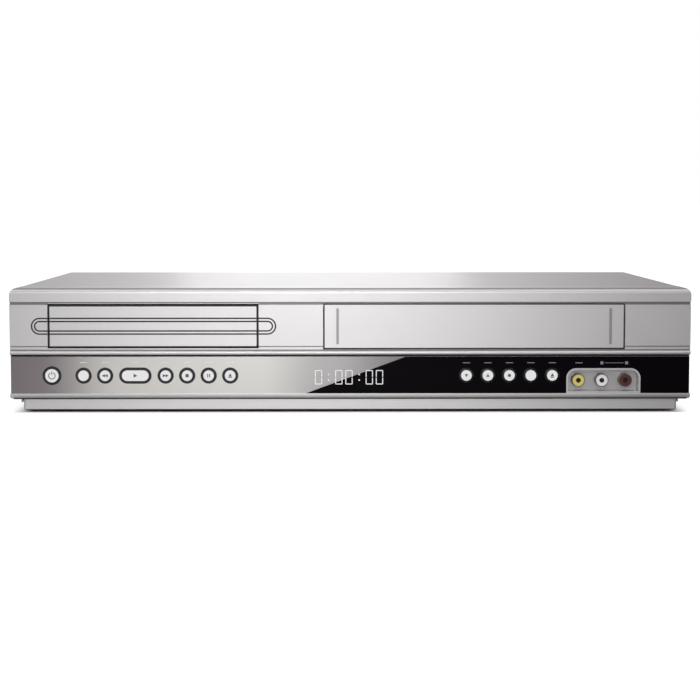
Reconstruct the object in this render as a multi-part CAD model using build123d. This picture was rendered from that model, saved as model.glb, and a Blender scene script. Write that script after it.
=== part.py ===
from build123d import *
import os
from math import cos, pi, sin

# Disc player and cassette recorder in one cabinet.
# Millimetres. x runs to the right seen from the front, y to the back, z up.
# The origin is on the floor, in the middle of the overall width and depth.
# Depths (the second value of a plan outline) are counted from the fascia's foremost plane.

# ---- front elevation, bands from the floor up -------------------------------------------
plinth_lift = 2.0          # free height under the plinth
plinth_height = 6.8
lip_height = 3.5           # rounded lip under the control strip
strip_height = 23.2
strip_groove = 1.3
bead_height = 2.7
cove_height = 2.9
panel_height = 26.0        # flat field that holds both doors
bezel_groove = 1.9
bezel_height = 8.7
top_edge_radius = 3.2

lip_bottom = plinth_lift + plinth_height
strip_bottom = lip_bottom + lip_height
strip_top = strip_bottom + strip_height
bead_bottom = strip_top + strip_groove
bead_top = bead_bottom + bead_height
panel_bottom = bead_top + cove_height
panel_top = panel_bottom + panel_height
bezel_bottom = panel_top + bezel_groove
cabinet_height = bezel_bottom + bezel_height

# ---- front elevation, from the left edge to the right edge ------------------------------
left_margin = 24.0
tray_opening_width = 133.0
door_spacing = 40.6
cassette_opening_width = 190.9
right_margin = 41.5
cabinet_width = (left_margin + tray_opening_width + door_spacing
                 + cassette_opening_width + right_margin)
left_edge = -cabinet_width / 2
right_edge = cabinet_width / 2
tray_x = left_edge + left_margin + tray_opening_width / 2
cassette_x = right_edge - right_margin - cassette_opening_width / 2

# ---- setbacks from the foremost plane ---------------------------------------------------
panel_setback = 1.0
strip_setback = 1.6
lip_setback = 0.4
strip_thickness = 2.0
fascia_wall = 2.4
panel_wall = 2.0           # behind the groove under the bezel
fine_groove_depth = 0.8
bezel_groove_depth = 1.2
fascia_depth = 28.0
fascia_corner_radius = 4.5
lip_radius = 3.0
post_width = 4.4           # posts that carry the front board
post_inset = 14.0
post_share = 0.58
post_low_margin = 2.5
post_high_margin = 3.0
overshoot = 1.0            # cutting shapes and hidden joints reach this far past a face

strip_back = strip_setback + strip_thickness
strip_wall_back = strip_back + fascia_wall
panel_wall_back = panel_setback + bezel_groove_depth + panel_wall

# ---- cabinet shell ----------------------------------------------------------------------
cover_inset = 1.7
cover_step = 0.4           # the cover's top lies this much under the fascia's
cover_thickness = 0.8
cover_bottom = 6.5
cover_gap = 0.2
cover_lip = 10.0
slot_count = 10
slot_pitch = 9.0
slot_width = 3.0
slot_length = 36.0
slot_bottom = 24.0
slot_rear_margin = 16.0
chassis_thickness = 1.0
chassis_flange = 14.0
foot_height = 4.0
foot_radius = 9.0
foot_inset = 30.0
foot_front_depth = 24.0
panel_thickness = 1.0
plinth_inset = 8.9
plinth_setback = 6.0
plinth_wall = 2.2
plinth_return = 22.0
plinth_corner = 3.0
standoff_radius = 3.2
standoff_inset = 6.0
standoff_rear_inset = 8.0
rear_slot_count = 9
rear_slot_pitch = 7.0
rear_slot_width = 3.0
rear_slot_length = 16.0
rear_slot_drop = 14.0
rear_slot_margin = 16.0

floor_bottom = foot_height
floor_top = floor_bottom + chassis_thickness
cover_half = cabinet_width / 2 - cover_inset
inner_half = cover_half - cover_thickness
cover_top = cabinet_height - cover_step
cover_under = cover_top - cover_thickness

# ---- doors ------------------------------------------------------------------------------
door_gap = 0.3
tray_opening_drop = 1.5    # the tray opening reaches this far under the flat field
tray_opening_rise = 0.6
tray_door_gap = 0.6
tray_door_top_gap = 0.9
tray_door_thickness = 3.0
cassette_opening_drop = 2.3
cassette_opening_rise = 0.8
cassette_door_thickness = 2.0
hinge_pin_radius = 1.2
hinge_pin_length = 3.0
hinge_drop = 0.95          # the hinge lies this far under the door's top edge
running_clearance = 0.05
hinge_boss_width = 5.0
hinge_boss_height = 6.0
hinge_boss_setback = 1.0
hinge_boss_wall = 3.0
hinge_boss_rise = 1.0
pill_groove_width = 1.8
pill_groove_depth = 0.5
pill_groove_inset = 8.9
pill_groove_margin = 1.6

tray_opening_bottom = panel_bottom - tray_opening_drop
tray_opening_top = panel_top + tray_opening_rise
cassette_opening_bottom = panel_bottom - cassette_opening_drop
cassette_opening_top = panel_top + cassette_opening_rise
door_bottom = cassette_opening_bottom + door_gap
door_top = cassette_opening_top - door_gap
hinge_z = door_top - hinge_drop
hinge_depth = panel_setback + cassette_door_thickness

# ---- racetrack line round the tray door's middle ----------------------------------------
track_length = 154.4
track_height = 10.6
track_band = 1.9
track_line = 0.5
track_depth = 0.5
track_z = panel_bottom + 12.5
track_shift = 0.3

# ---- buttons ----------------------------------------------------------------------------
button_z = strip_bottom + 11.3
button_radius = 3.65
button_ring = 1.1          # open ring round each cap
power_radius = 4.5
play_width = 17.5
button_pitch = 13.6
play_pitch = 19.1
power_offset = 26.4        # from the left edge
first_button_offset = 46.3
eject_offset = 87.3        # from the right edge
button_proud = 0.7
button_travel = 0.7
flange_margin = 1.0
flange_thickness = 1.0
flange_gap = 0.3
switch_gap = 0.25          # left between a pressed button and its switch
switch_width = 6.0
switch_height = 3.5
plunger_width = 3.4
plunger_height = 0.8

# ---- control strip and display ----------------------------------------------------------
strip_end_inset = 0.5
slant_foot_offset = 186.7  # where the dark window starts at the bottom, from the left edge
slant_run = 63.1
display_left_offset = 181.0
display_width = 74.0
display_height = 19.0
display_frame = 3.0

# ---- front sockets ----------------------------------------------------------------------
alcove_offset = 54.9       # centre, from the right edge
alcove_width = 47.0
alcove_height = 15.8
alcove_radius = 6.3
alcove_wall = 1.2
alcove_front = 1.2
alcove_depth = 10.8
jack_pitch = 14.9
jack_shift = -0.6
jack_lift = 7.9            # jack centres above the strip's lower edge
jack_radius = 4.15
jack_wall = 0.4
jack_length = 7.5
jack_bore_radius = 1.6
jack_bore_depth = 4.0
jack_face_drop = 0.4

# ---- disc loader ------------------------------------------------------------------------
tray_width = 129.0
tray_lift = 6.6            # tray underside above the tray opening's lower edge
tray_thickness = 8.6
tray_floor = 2.6
disc_radius = 60.0
small_disc_radius = 40.0
disc_clearance = 0.9
disc_step = 2.2
tray_front_rim = 4.0
tray_slot_width = 42.0
tray_slot_reach = 14.0
tray_corner_radius = 6.0
tray_travel = 131.0
tray_tail = 19.0           # part of the tray that stays on its rails when it is out
loader_wall = 2.0
loader_gap = 0.7
loader_front = 8.0
loader_base = 2.0
loader_base_drop = 6.4     # loader base's top under the tray
loader_wall_height = 22.0
leg_width = 9.0
leg_inset = 9.0
leg_gap = 0.5
loader_rear_gap = 3.0
loader_window_gap = 2.0
loader_rail_width = 3.0
glide_gap = 0.3            # between the tray and its rails
lug_inset = 6.0            # lugs that carry the traverse
lug_reach = 4.0
lug_width = 6.0
lug_thickness = 1.2
gear_module = 1.5
gear_teeth = 12
gear_thickness = 3.0
gear_depth = 17.0
gear_hub_radius = 5.0
gear_clearance = 0.6       # under the tray
gear_lift = 0.2            # over the loader's base
rack_inset = 12.0
rack_width = 3.0
rack_height = 3.4
tooth_backlash = 0.5
tooth_addendum = 0.8       # tooth forms, as shares of the module
tooth_dedendum = 1.1
tooth_tip_share = 0.28     # and of the pitch
gear_root_share = 0.62
rack_root_share = 0.78
rack_front_gap = 2.0
rack_rear_gap = 3.0
axle_radius = 2.0
motor_radius = 12.0
motor_height = 18.0
motor_inset = 18.0
motor_front_gap = 24.0
motor_boss_height = 2.0
turntable_radius = 15.0
turntable_drop = 1.2       # turntable's tip under the tray
spindle_cone_height = 2.6
spindle_radius = 7.3
spindle_motor_radius = 13.0
spindle_shaft_radius = 1.0
shaft_tip_gap = 0.5
bore_top_gap = 0.3
cone_chamfer = 1.2
turntable_lift = 0.3
motor_rise = 1.0
motor_seat_gap = 0.4
traverse_half_width = 31.0
traverse_rim = 5.0
traverse_thickness = 6.5
traverse_margin = 8.0
traverse_corner_radius = 4.0
traverse_window_gap = 2.0
motor_sink = 5.0           # how deep the spindle motor sits in the traverse
pickup_travel = 35.0
pickup_length = 24.0
pickup_offset = 29.0       # pickup's centre behind the spindle
rod_radius = 1.5
rod_spacing = 44.0
rod_drop = 1.5
sled_margin = 3.0
sled_under = 4.0
sled_over = 3.0
lens_radius = 3.0
lens_height = 0.9
lens_cup_margin = 4.0
lens_cup_height = 1.5
clamp_radius = 15.0
clamp_hole_gap = 0.8
clamp_lift = 0.3
clamp_flange = 3.0
clamp_flange_thickness = 1.2
clamp_rise = 1.6           # clamp's underside above the tray's top
bridge_width = 40.0
bridge_thickness = 1.5

# ---- cassette deck ----------------------------------------------------------------------
cassette_width = 187.0
cassette_height = 25.0
cassette_length = 103.0
cassette_stop_gap = 1.0
holder_wall = 1.0
holder_side_gap = 0.5
holder_length = 60.0
holder_ledge = 15.0
holder_stop_half = 30.0
holder_stop_height = 8.0
holder_swing_gap = 0.8
deck_drop = 12.0           # way down from the entry level to the reels
deck_thickness = 1.5
deck_under_reels = 8.0
deck_leg_inset = 10.0
deck_leg_front = 14.0
rail_gap = 0.4
rail_thickness = 1.2
rail_length = 118.0
rail_rise = 8.0
rail_front_gap = 2.0
guide_pin_radius = 1.5
guide_pin_gap = 0.3
guide_pin_inset = 10.0
guide_pin_reach = 0.8
reel_spacing = 92.0
reel_setback = 48.0        # reel centres in front of the loaded cassette's inner edge
reel_radius = 20.0
reel_flange = 2.0
spindle_post_radius = 4.2
reel_post_radius = 1.6
reel_post_rise = 8.0
reel_bore_gap = 0.3
reel_lift = 2.0
reel_table_drop = 0.5
spindle_height = 13.0
spline_reach = 1.2
spline_width = 1.4
drum_radius = 31.0
drum_height = 17.0
drum_tilt = 6.0
drum_gap = 0.3
drum_setback = 28.0        # drum centre behind the loaded cassette's inner edge
drum_shaft_radius = 3.0
drum_foot_margin = 4.0
drum_rim = 8.0
drum_recess = 3.0
drum_lift = 4.0
drum_sunk = 10.0
drum_foot_trim = 4.0
drum_foot_thickness = 5.0
capstan_radius = 1.5
capstan_height = 30.0
capstan_offset = 44.0
capstan_setback = 12.0
flywheel_radius = 22.0
flywheel_thickness = 5.0
flywheel_gap = 0.4
pinch_radius = 6.0
pinch_height = 15.0
pinch_pin_radius = 1.5
pinch_pin_rise = 4.0
pinch_offset = 3.0
pinch_rest_gap = 14.0      # roller to capstan, with the arm at rest
pinch_arm_level = 8.0
pinch_lever_length = 28.0
pinch_lever_width = 8.0
pinch_lever_thickness = 2.0
pinch_post_shift = 20.0
pinch_roller_gap = 0.3
post_radius = 3.0
guide_height = 26.0
guide_gap = 3.0
guide_setback = 2.0
guide_collar = 2.0
guide_collar_height = 6.0
sound_head_offset = 10.0
sound_head_setback = 8.0
sound_head_width = 12.0
sound_head_depth = 10.0
sound_head_height = 28.0
deck_tail = 66.0           # deck plate behind the loaded cassette's inner edge

# ---- boards and rear sockets ------------------------------------------------------------
board_thickness = 1.6
board_lift = 6.0
main_board_depth = 55.0
board_gap = 3.0
board_side_margin = 6.0
power_board_width = 96.0
power_board_depth = 78.0
power_board_margin = 5.0
front_board_inset = 8.0
front_board_gap = 2.0
front_board_lift = 0.5
tube_gap = 0.4             # display tube behind the fascia's wall
tube_margin = 0.5
chip_margin = 4.0
main_board_chips = [       # share of the board's width, width, depth, height
    (0.35, 26.0, 26.0, 2.0),
    (0.68, 18.0, 30.0, 1.6),
    (0.82, 30.0, 12.0, 3.0),
]
transformer_x = 62.0       # from the power board's left front corner
transformer_y = 44.0
transformer_width = 30.0
transformer_depth = 26.0
transformer_height = 26.0
winding_width = 20.0
winding_depth = 36.0
winding_low = 3.0
winding_high = 22.0
capacitor_x = 22.0
capacitor_y = 28.0
capacitor_radius = 11.0
capacitor_height = 32.0
heat_sink_left = 38.0
heat_sink_right = 4.0
heat_sink_front = 8.0
heat_sink_thickness = 2.0
heat_sink_height = 30.0
fin_count = 6
fin_pitch = 9.0
fin_thickness = 1.5
fin_reach = 10.0
rear_jack_reach = 8.0      # sockets stand this far behind the cabinet
rear_jack_pitch = 16.0
rear_row_pitch = 19.0
rear_row_height = 15.0     # lower row above the main board
jack_block_depth = 16.0
jack_block_proud = 1.0
jack_block_rim = 1.0
jack_group_offset = 34.0
jack_group_gap = 8.0
antenna_radius = 4.7
antenna_nut_radius = 7.0
antenna_nut_thickness = 1.8
antenna_contact_radius = 1.4
antenna_contact_depth = 5.0
antenna_offset = 14.0
tuner_gap = 12.0
tuner_width = 48.0
tuner_depth = 40.0
tuner_rise = 10.0
inlet_width = 26.0
inlet_height = 15.0
inlet_depth = 20.0
inlet_recess = 10.0
inlet_recess_height = 7.6
inlet_offset = 30.0
inlet_pin_spacing = 8.6
inlet_pin_radius = 1.2
inlet_pin_margin = 1.0

# ---- round pieces that repeat or stay inside get this many flat sides --------------------
few_sides = 12
repeated_sides = 20        # buttons, their holes, grooves with round ends, front socket cores
drum_sides = 24
well_sides = 40            # the tray's round recesses

# ---- depth stations ---------------------------------------------------------------------
tray_length = tray_travel + tray_tail
holder_travel = cassette_length + cassette_stop_gap + holder_wall - holder_length
holder_front = hinge_depth + (hinge_z - door_bottom) + holder_swing_gap
loaded_edge = holder_front + holder_length + holder_travel - holder_wall
deck_rear = loaded_edge + deck_tail
main_board_front = deck_rear + board_gap
panel_front = main_board_front + main_board_depth + board_gap / 2
panel_back = panel_front + panel_thickness
cabinet_depth = panel_back + cover_thickness
front_y = -(cabinet_depth + rear_jack_reach) / 2

# ---- levels inside ----------------------------------------------------------------------
tray_bottom = tray_opening_bottom + tray_lift
tray_top = tray_bottom + tray_thickness
loader_top = tray_bottom - loader_base_drop
disc_depth = panel_setback + tray_door_thickness + tray_front_rim + disc_radius + disc_clearance
board_bottom = floor_top + board_lift
board_top = board_bottom + board_thickness
entry_bottom = cassette_opening_bottom + 0.7
deck_level = entry_bottom - deck_drop - deck_under_reels
deck_under = deck_level - deck_thickness


# ---- helpers: an outline drawn in one view, given thickness across it --------------------
def front_slab(outline, near, far):
    """Front-view outline (x, z), solid from depth near to depth far."""
    plane = Plane(origin=(0, front_y + far, 0), x_dir=(1, 0, 0), z_dir=(0, -1, 0))
    return extrude(plane * outline, far - near)


def side_slab(outline, left, right):
    """Side-view outline (depth, z), solid from x = left to x = right."""
    plane = Plane(origin=(left, front_y, 0), x_dir=(0, 1, 0), z_dir=(1, 0, 0))
    return extrude(plane * outline, right - left)


def plan_slab(outline, bottom, top):
    """Plan outline (x, depth), solid from z = bottom to z = top."""
    plane = Plane(origin=(0, front_y, bottom), x_dir=(1, 0, 0), z_dir=(0, 0, 1))
    return extrude(plane * outline, top - bottom)


def span(low_u, high_u, low_v, high_v):
    """Rectangle between two corners."""
    middle = Pos((low_u + high_u) / 2, (low_v + high_v) / 2)
    return middle * Rectangle(high_u - low_u, high_v - low_v)


def disc_at(u, v, radius):
    return Pos(u, v) * Circle(radius)


def many_sided(u, v, radius, sides=few_sides):
    """Nearly round outline with few faces, its corners on the circle."""
    return Pos(u, v) * RegularPolygon(radius, sides)


def clear_bore(u, v, radius):
    """Nearly round hole with few faces, its flats on the circle."""
    return Pos(u, v) * RegularPolygon(radius, few_sides, major_radius=False)


def rounded(u, v, width, height, radius):
    return Pos(u, v) * RectangleRounded(width, height, radius)


def pill(u, v, length, height):
    """Bar with round ends."""
    reach = (length - height) / 2
    ends = many_sided(u - reach, v, height / 2, repeated_sides)
    ends += many_sided(u + reach, v, height / 2, repeated_sides)
    return ends + Pos(u, v) * Rectangle(2 * reach, height)


def ring_line(u, v, length, height, line):
    """Thin closed line along a racetrack shape."""
    return pill(u, v, length, height) - pill(u, v, length - 2 * line, height - 2 * line)


def gear_outline(teeth, module, thinning):
    """Spur gear with straight-sided teeth, thinned to leave backlash."""
    outer = module * (teeth / 2 + tooth_addendum)
    root = module * (teeth / 2 - tooth_dedendum)
    half_pitch = pi / teeth
    thin = thinning / (module * teeth)
    points = []
    for tooth in range(teeth):
        middle = 2 * half_pitch * tooth
        for radius, offset in ((root, -gear_root_share), (outer, -tooth_tip_share),
                               (outer, tooth_tip_share), (root, gear_root_share)):
            side = -1 if offset < 0 else 1
            angle = middle + offset * half_pitch - side * thin
            points.append((radius * cos(angle), radius * sin(angle)))
    return make_face(Polyline(*points, close=True))


def rack_outline(left, width, near, far, module, thinning, phase):
    """Toothed bar in plan, its teeth towards -x, from depth near to depth far."""
    pitch = pi * module
    pitch_line = left + tooth_addendum * module
    root = pitch_line + tooth_dedendum * module
    half_tip = (tooth_tip_share * pitch - thinning) / 2
    half_root = (rack_root_share * pitch - thinning) / 2
    teeth = int((far - near) / pitch) - 1
    first = near + half_root + (phase - near - half_root) % pitch
    points = [(root + width, near), (root, near)]
    for tooth in range(teeth):
        middle = first + tooth * pitch
        points.append((root, middle - half_root))
        points.append((left, middle - half_tip))
        points.append((left, middle + half_tip))
        points.append((root, middle + half_root))
    points.append((root, far))
    points.append((root + width, far))
    return make_face(Polyline(*points, close=True))


# ---- button list: name, x, cap width -----------------------------------------------------
def button_layout():
    """Name, centre x and cap width of every button, from left to right."""
    start = left_edge + first_button_offset
    play = start + button_pitch + play_pitch
    right = right_edge - eject_offset
    small = 2 * button_radius
    return [
        ("power_button", left_edge + power_offset, 2 * power_radius),
        ("select_button", start, small),
        ("rewind_button", start + button_pitch, small),
        ("play_button", play, play_width),
        ("forward_button", play + play_pitch, small),
        ("stop_button", play + play_pitch + button_pitch, small),
        ("pause_button", play + play_pitch + 2 * button_pitch, small),
        ("tray_button", play + play_pitch + 3 * button_pitch, small),
        ("channel_down_button", right - 4 * button_pitch, small),
        ("channel_up_button", right - 3 * button_pitch, small),
        ("record_button", right - 2 * button_pitch, small),
        ("source_button", right - button_pitch, small),
        ("eject_button", right, small),
    ]


def cap_height(width):
    """A round cap is as high as it is wide; the wide one is as high as the small ones."""
    return 2 * button_radius if width == play_width else width


def button_outline(x, width, margin):
    """Round cap, or a pill where it is wider than it is high."""
    height = cap_height(width)
    if width > height:
        return pill(x, button_z, width + 2 * margin, height + 2 * margin)
    return many_sided(x, button_z, width / 2 + margin, repeated_sides)


def button_holes():
    """Every button's hole, as one front-view outline."""
    holes = Sketch()
    for name, x, width in button_layout():
        holes += button_outline(x, width, button_ring)
    return holes


def wall_windows():
    """Square windows in the wall behind the strip, one for each button."""
    windows = Sketch()
    for name, x, width in button_layout():
        size = cap_height(width) + 2 * button_ring
        windows += Pos(x, button_z) * Rectangle(width + 2 * button_ring, size)
    return windows


def button(x, width):
    """Cap with a square flange behind the fascia, which keeps it in and stops it turning."""
    height = cap_height(width)
    cap_front = strip_setback - button_proud
    flange_front = strip_wall_back + flange_gap
    cap = front_slab(button_outline(x, width, 0), cap_front, flange_front)
    grow = 2 * (button_ring + flange_margin)
    flange = Pos(x, button_z) * Rectangle(width + grow, height + grow)
    return cap + front_slab(flange, flange_front, flange_front + flange_thickness)


# ---- fascia ------------------------------------------------------------------------------
def fascia_profile():
    """Side view of the moulding, one band above the other."""
    back = fascia_depth
    lip = span(lip_setback, back, lip_bottom, strip_bottom)
    lip = fillet(lip.vertices().group_by(Axis.X)[0].sort_by(Axis.Y)[0], lip_radius)
    wall = span(strip_back, back, strip_bottom, bead_bottom)
    bead_radius = bead_height / 2
    bead = disc_at(bead_radius, bead_bottom + bead_radius, bead_radius)
    bead += span(bead_radius, back, bead_bottom, bead_top)
    cove = span(panel_setback, back, bead_top, panel_bottom)
    groove = cove_height / 4
    cove -= span(0, panel_setback + fine_groove_depth, bead_top, bead_top + groove)
    cove -= span(0, panel_setback + fine_groove_depth, panel_bottom - groove, panel_bottom)
    field = span(panel_setback, back, panel_bottom, panel_top)
    shadow = span(panel_setback + bezel_groove_depth, back, panel_top, bezel_bottom)
    bezel = span(0, back, bezel_bottom, cabinet_height)
    bezel = fillet(bezel.vertices().group_by(Axis.X)[0].sort_by(Axis.Y)[-1], top_edge_radius)
    return lip + wall + bead + cove + field + shadow + bezel


def fascia_blank():
    """Outer form: the side profile run across, its corners rounded in front view."""
    body = side_slab(fascia_profile(), left_edge, right_edge)
    face = span(left_edge, right_edge, lip_bottom, cabinet_height)
    face = fillet(face.vertices().group_by(Axis.Y)[-1], fascia_corner_radius)
    face = fillet(face.vertices().group_by(Axis.Y)[0], lip_radius / 2)
    return body & front_slab(face, -overshoot, fascia_depth)


def fascia_hollow():
    """Room behind the front wall, open to the back."""
    left = left_edge + fascia_wall
    right = right_edge - fascia_wall
    upper = span(panel_wall_back, fascia_depth, bead_top, cabinet_height - fascia_wall)
    lower = span(strip_wall_back, fascia_depth, lip_bottom + fascia_wall, bead_top)
    return side_slab(upper + lower, left, right)


def alcove_outline(inset):
    """Front view of the socket alcove, its upper corners rounded."""
    x = right_edge - alcove_offset
    low = strip_bottom + inset
    high = strip_bottom + alcove_height - inset
    shape = span(x - alcove_width / 2 + inset, x + alcove_width / 2 - inset, low, high)
    return fillet(shape.vertices().group_by(Axis.Y)[-1], alcove_radius - inset)


def track_outline():
    """Two thin closed lines, one inside the other, across the tray door."""
    x = tray_x + track_shift
    inner_length = track_length - 2 * track_band
    inner_height = track_height - 2 * track_band
    outer = ring_line(x, track_z, track_length, track_height, track_line)
    return outer + ring_line(x, track_z, inner_length, inner_height, track_line)


def tray_opening(inset):
    low = tray_opening_bottom + inset
    high = tray_opening_top - inset
    half = tray_opening_width / 2 - inset
    return span(tray_x - half, tray_x + half, low, high)


def cassette_opening(inset):
    low = cassette_opening_bottom + inset
    high = cassette_opening_top - inset
    half = cassette_opening_width / 2 - inset
    return span(cassette_x - half, cassette_x + half, low, high)


def display_outline(margin):
    low = button_z - display_height / 2 - margin
    high = button_z + display_height / 2 + margin
    left = left_edge + display_left_offset
    return span(left - margin, left + display_width + margin, low, high)


def hinge_line(outline, length):
    """Both hinge bores or pins of the cassette door, on one line."""
    pair = Part()
    for side in (-1, 1):
        reach = cassette_x + side * (cassette_opening_width / 2 - door_gap)
        left = min(reach, reach + side * length)
        pair += side_slab(outline, left, left + length)
    return pair


def fascia_posts():
    """Posts that carry the front board."""
    reach = board_front() - strip_wall_back
    half_span = cabinet_width / 2 - post_inset
    posts = Part()
    for x in (-half_span, -half_span / 3, half_span * post_share):
        for z in (strip_bottom + post_low_margin, strip_top - post_high_margin):
            post = Pos(x, z) * Rectangle(post_width, post_width)
            posts += front_slab(post, strip_wall_back, strip_wall_back + reach)
    return posts


def board_front():
    """Depth of the front board's face, where a pressed button just misses its switch."""
    flange_back = strip_wall_back + flange_gap + flange_thickness
    return flange_back + button_travel + switch_gap + plunger_height + switch_height


def front_fascia():
    body = fascia_blank() - fascia_hollow()
    bosses = Part()
    for side in (-1, 1):
        edge = cassette_x + side * cassette_opening_width / 2
        left = min(edge, edge + side * hinge_boss_width)
        low = hinge_z - hinge_boss_height / 2
        boss = span(panel_setback + hinge_boss_setback, hinge_depth + hinge_boss_wall,
                    low, cassette_opening_top + hinge_boss_rise)
        bosses += side_slab(boss, left, left + hinge_boss_width)
    body = body + bosses + fascia_posts()
    body -= front_slab(tray_opening(0), -overshoot, fascia_depth)
    body -= front_slab(cassette_opening(0), -overshoot, fascia_depth)
    bore = clear_bore(hinge_depth, hinge_z, hinge_pin_radius + running_clearance)
    body -= hinge_line(bore, hinge_pin_length + 2 * door_gap)
    body -= front_slab(track_outline(), 0, panel_setback + track_depth)
    body -= front_slab(wall_windows(), strip_back, strip_wall_back)
    body -= front_slab(display_outline(-display_frame), 0, strip_wall_back)
    body -= front_slab(alcove_outline(0), 0, strip_wall_back)
    return body


def slant_points():
    """Foot and head of the slanted line that parts the silver from the dark."""
    foot = left_edge + slant_foot_offset
    return (foot, strip_bottom), (foot + slant_run, strip_top)


def control_strip():
    foot, head = slant_points()
    left = left_edge + strip_end_inset
    corners = [(left, strip_bottom), foot, head, (left, strip_top)]
    face = make_face(Polyline(*corners, close=True))
    return front_slab(face - button_holes(), strip_setback, strip_back)


def display_window():
    foot, head = slant_points()
    right = right_edge - strip_end_inset
    corners = [foot, (right, strip_bottom), (right, strip_top), head]
    face = make_face(Polyline(*corners, close=True))
    face = face - button_holes() - alcove_outline(0)
    return front_slab(face, strip_setback, strip_back)


def plinth_trim():
    """Low channel under the fascia, its front corners rounded in plan."""
    half = cabinet_width / 2 - plinth_inset
    back = plinth_setback + plinth_return
    outer = span(-half, half, plinth_setback, back)
    outer = fillet(outer.vertices().group_by(Axis.Y)[0], plinth_corner)
    inner = span(-half + plinth_wall, half - plinth_wall, plinth_setback + plinth_wall, back)
    inner = fillet(inner.vertices().group_by(Axis.Y)[0], plinth_corner - plinth_wall)
    return plan_slab(outer - inner, plinth_lift, lip_bottom)


def jack_alcove():
    shell = front_slab(alcove_outline(0), alcove_front, alcove_front + alcove_depth)
    pocket_back = alcove_front + alcove_depth - alcove_wall
    return shell - front_slab(alcove_outline(alcove_wall), alcove_front, pocket_back)


def front_jack_places():
    middle = right_edge - alcove_offset + jack_shift
    z = strip_bottom + jack_lift
    return [(middle + step * jack_pitch, z) for step in (-1, 0, 1)]


def socket_shells():
    """Metal sleeves of the three front sockets."""
    shells = []
    back = alcove_front + alcove_depth - alcove_wall
    for x, z in front_jack_places():
        tube = disc_at(x, z, jack_radius)
        tube -= many_sided(x, z, jack_radius - jack_wall, repeated_sides)
        shells.append(front_slab(tube, back - jack_length, back))
    return shells


def socket_cores():
    """Coloured insulators inside the sleeves, each with the centre contact's hole."""
    cores = []
    back = alcove_front + alcove_depth - alcove_wall
    face = back - jack_length + jack_face_drop
    for x, z in front_jack_places():
        body = front_slab(many_sided(x, z, jack_radius - jack_wall, repeated_sides), face, back)
        bore = many_sided(x, z, jack_bore_radius)
        cores.append(body - front_slab(bore, face, face + jack_bore_depth))
    return cores


# ---- cabinet shell -----------------------------------------------------------------------
def cover_slots():
    """Ventilation slots in the cover's sides."""
    slots = Sketch()
    for column in range(slot_count):
        depth = panel_front - slot_rear_margin - column * slot_pitch
        slots += span(depth - slot_width, depth, slot_bottom, slot_bottom + slot_length)
    return slots


def top_cover():
    """Sheet bent down at both sides, with a lip over the rear panel."""
    outer = span(-cover_half, cover_half, cover_bottom, cover_top)
    outer = fillet(outer.vertices().group_by(Axis.Y)[-1], 2 * cover_thickness)
    inner = span(-inner_half, inner_half, cover_bottom, cover_under)
    inner = fillet(inner.vertices().group_by(Axis.Y)[-1], cover_thickness)
    start = fascia_depth + cover_gap
    body = front_slab(outer - inner, start, panel_back)
    lip = outer & span(-cover_half, cover_half, cover_top - cover_lip, cover_top)
    body += front_slab(lip, panel_back, panel_back + cover_thickness)
    return body - side_slab(cover_slots(), -cover_half - overshoot, cover_half + overshoot)


def hex_standoff(x, depth, bottom, top):
    return plan_slab(Pos(x, depth) * RegularPolygon(standoff_radius, 6), bottom, top)


def standoff_depths(front, length):
    return front + standoff_inset, front + length - standoff_rear_inset


def board_standoffs():
    """Standoffs of the main board and the power board."""
    posts = Part()
    left, right = main_board_sides()
    for x in (left + standoff_inset, (left + right) / 2, right - standoff_inset):
        for depth in standoff_depths(main_board_front, main_board_depth):
            posts += hex_standoff(x, depth, floor_top, board_bottom)
    low, high = power_board_sides()
    for x in (low + standoff_inset, high - standoff_inset):
        for depth in standoff_depths(power_board_front(), power_board_depth):
            posts += hex_standoff(x, depth, floor_top, board_bottom)
    return posts


def bottom_chassis():
    """Pressed tray with its sides and front turned up."""
    front = plinth_setback + plinth_wall
    floor = plan_slab(span(-inner_half, inner_half, fascia_depth, panel_back),
                      floor_bottom, floor_top)
    front_half = cabinet_width / 2 - plinth_inset - plinth_wall - plinth_corner
    floor += plan_slab(span(-front_half, front_half, front, fascia_depth + overshoot),
                       floor_bottom, floor_top)
    for side in (-1, 1):
        low = min(side * inner_half, side * (inner_half - chassis_thickness))
        flange = span(low, low + chassis_thickness, fascia_depth + cover_gap, panel_front)
        floor += plan_slab(flange, floor_bottom, floor_top + chassis_flange)
    lip = span(-front_half, front_half, front, front + chassis_thickness)
    floor += plan_slab(lip, floor_bottom, lip_bottom)
    return floor + board_standoffs()


def rear_panel():
    face = span(-inner_half, inner_half, floor_top, cover_under)
    face = fillet(face.vertices().group_by(Axis.Y)[-1], cover_thickness)
    for low, high, bottom, top in jack_windows():
        face -= span(low, high, bottom, top)
    for x, z in antenna_places():
        face -= clear_bore(x, z, antenna_radius + door_gap)
    face -= inlet_outline(0)
    for column in range(rear_slot_count):
        x = -inner_half + rear_slot_margin + column * rear_slot_pitch
        top = cover_under - rear_slot_drop
        face -= span(x, x + rear_slot_width, top - rear_slot_length, top)
    return front_slab(face, panel_front, panel_back)


def rubber_feet():
    feet = []
    half = cabinet_width / 2 - foot_inset
    for x in (-half, half):
        for depth in (foot_front_depth, panel_back - foot_front_depth):
            foot = many_sided(x, depth, foot_radius)
            feet.append(plan_slab(foot, 0, foot_height))
    return feet


# ---- rear sockets ------------------------------------------------------------------------
def main_board_sides():
    return power_board_sides()[1] + board_gap, inner_half - board_side_margin


def power_board_sides():
    left = -inner_half + power_board_margin
    return left, left + power_board_width


def power_board_front():
    return panel_front - board_gap / 2 - power_board_depth


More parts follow.
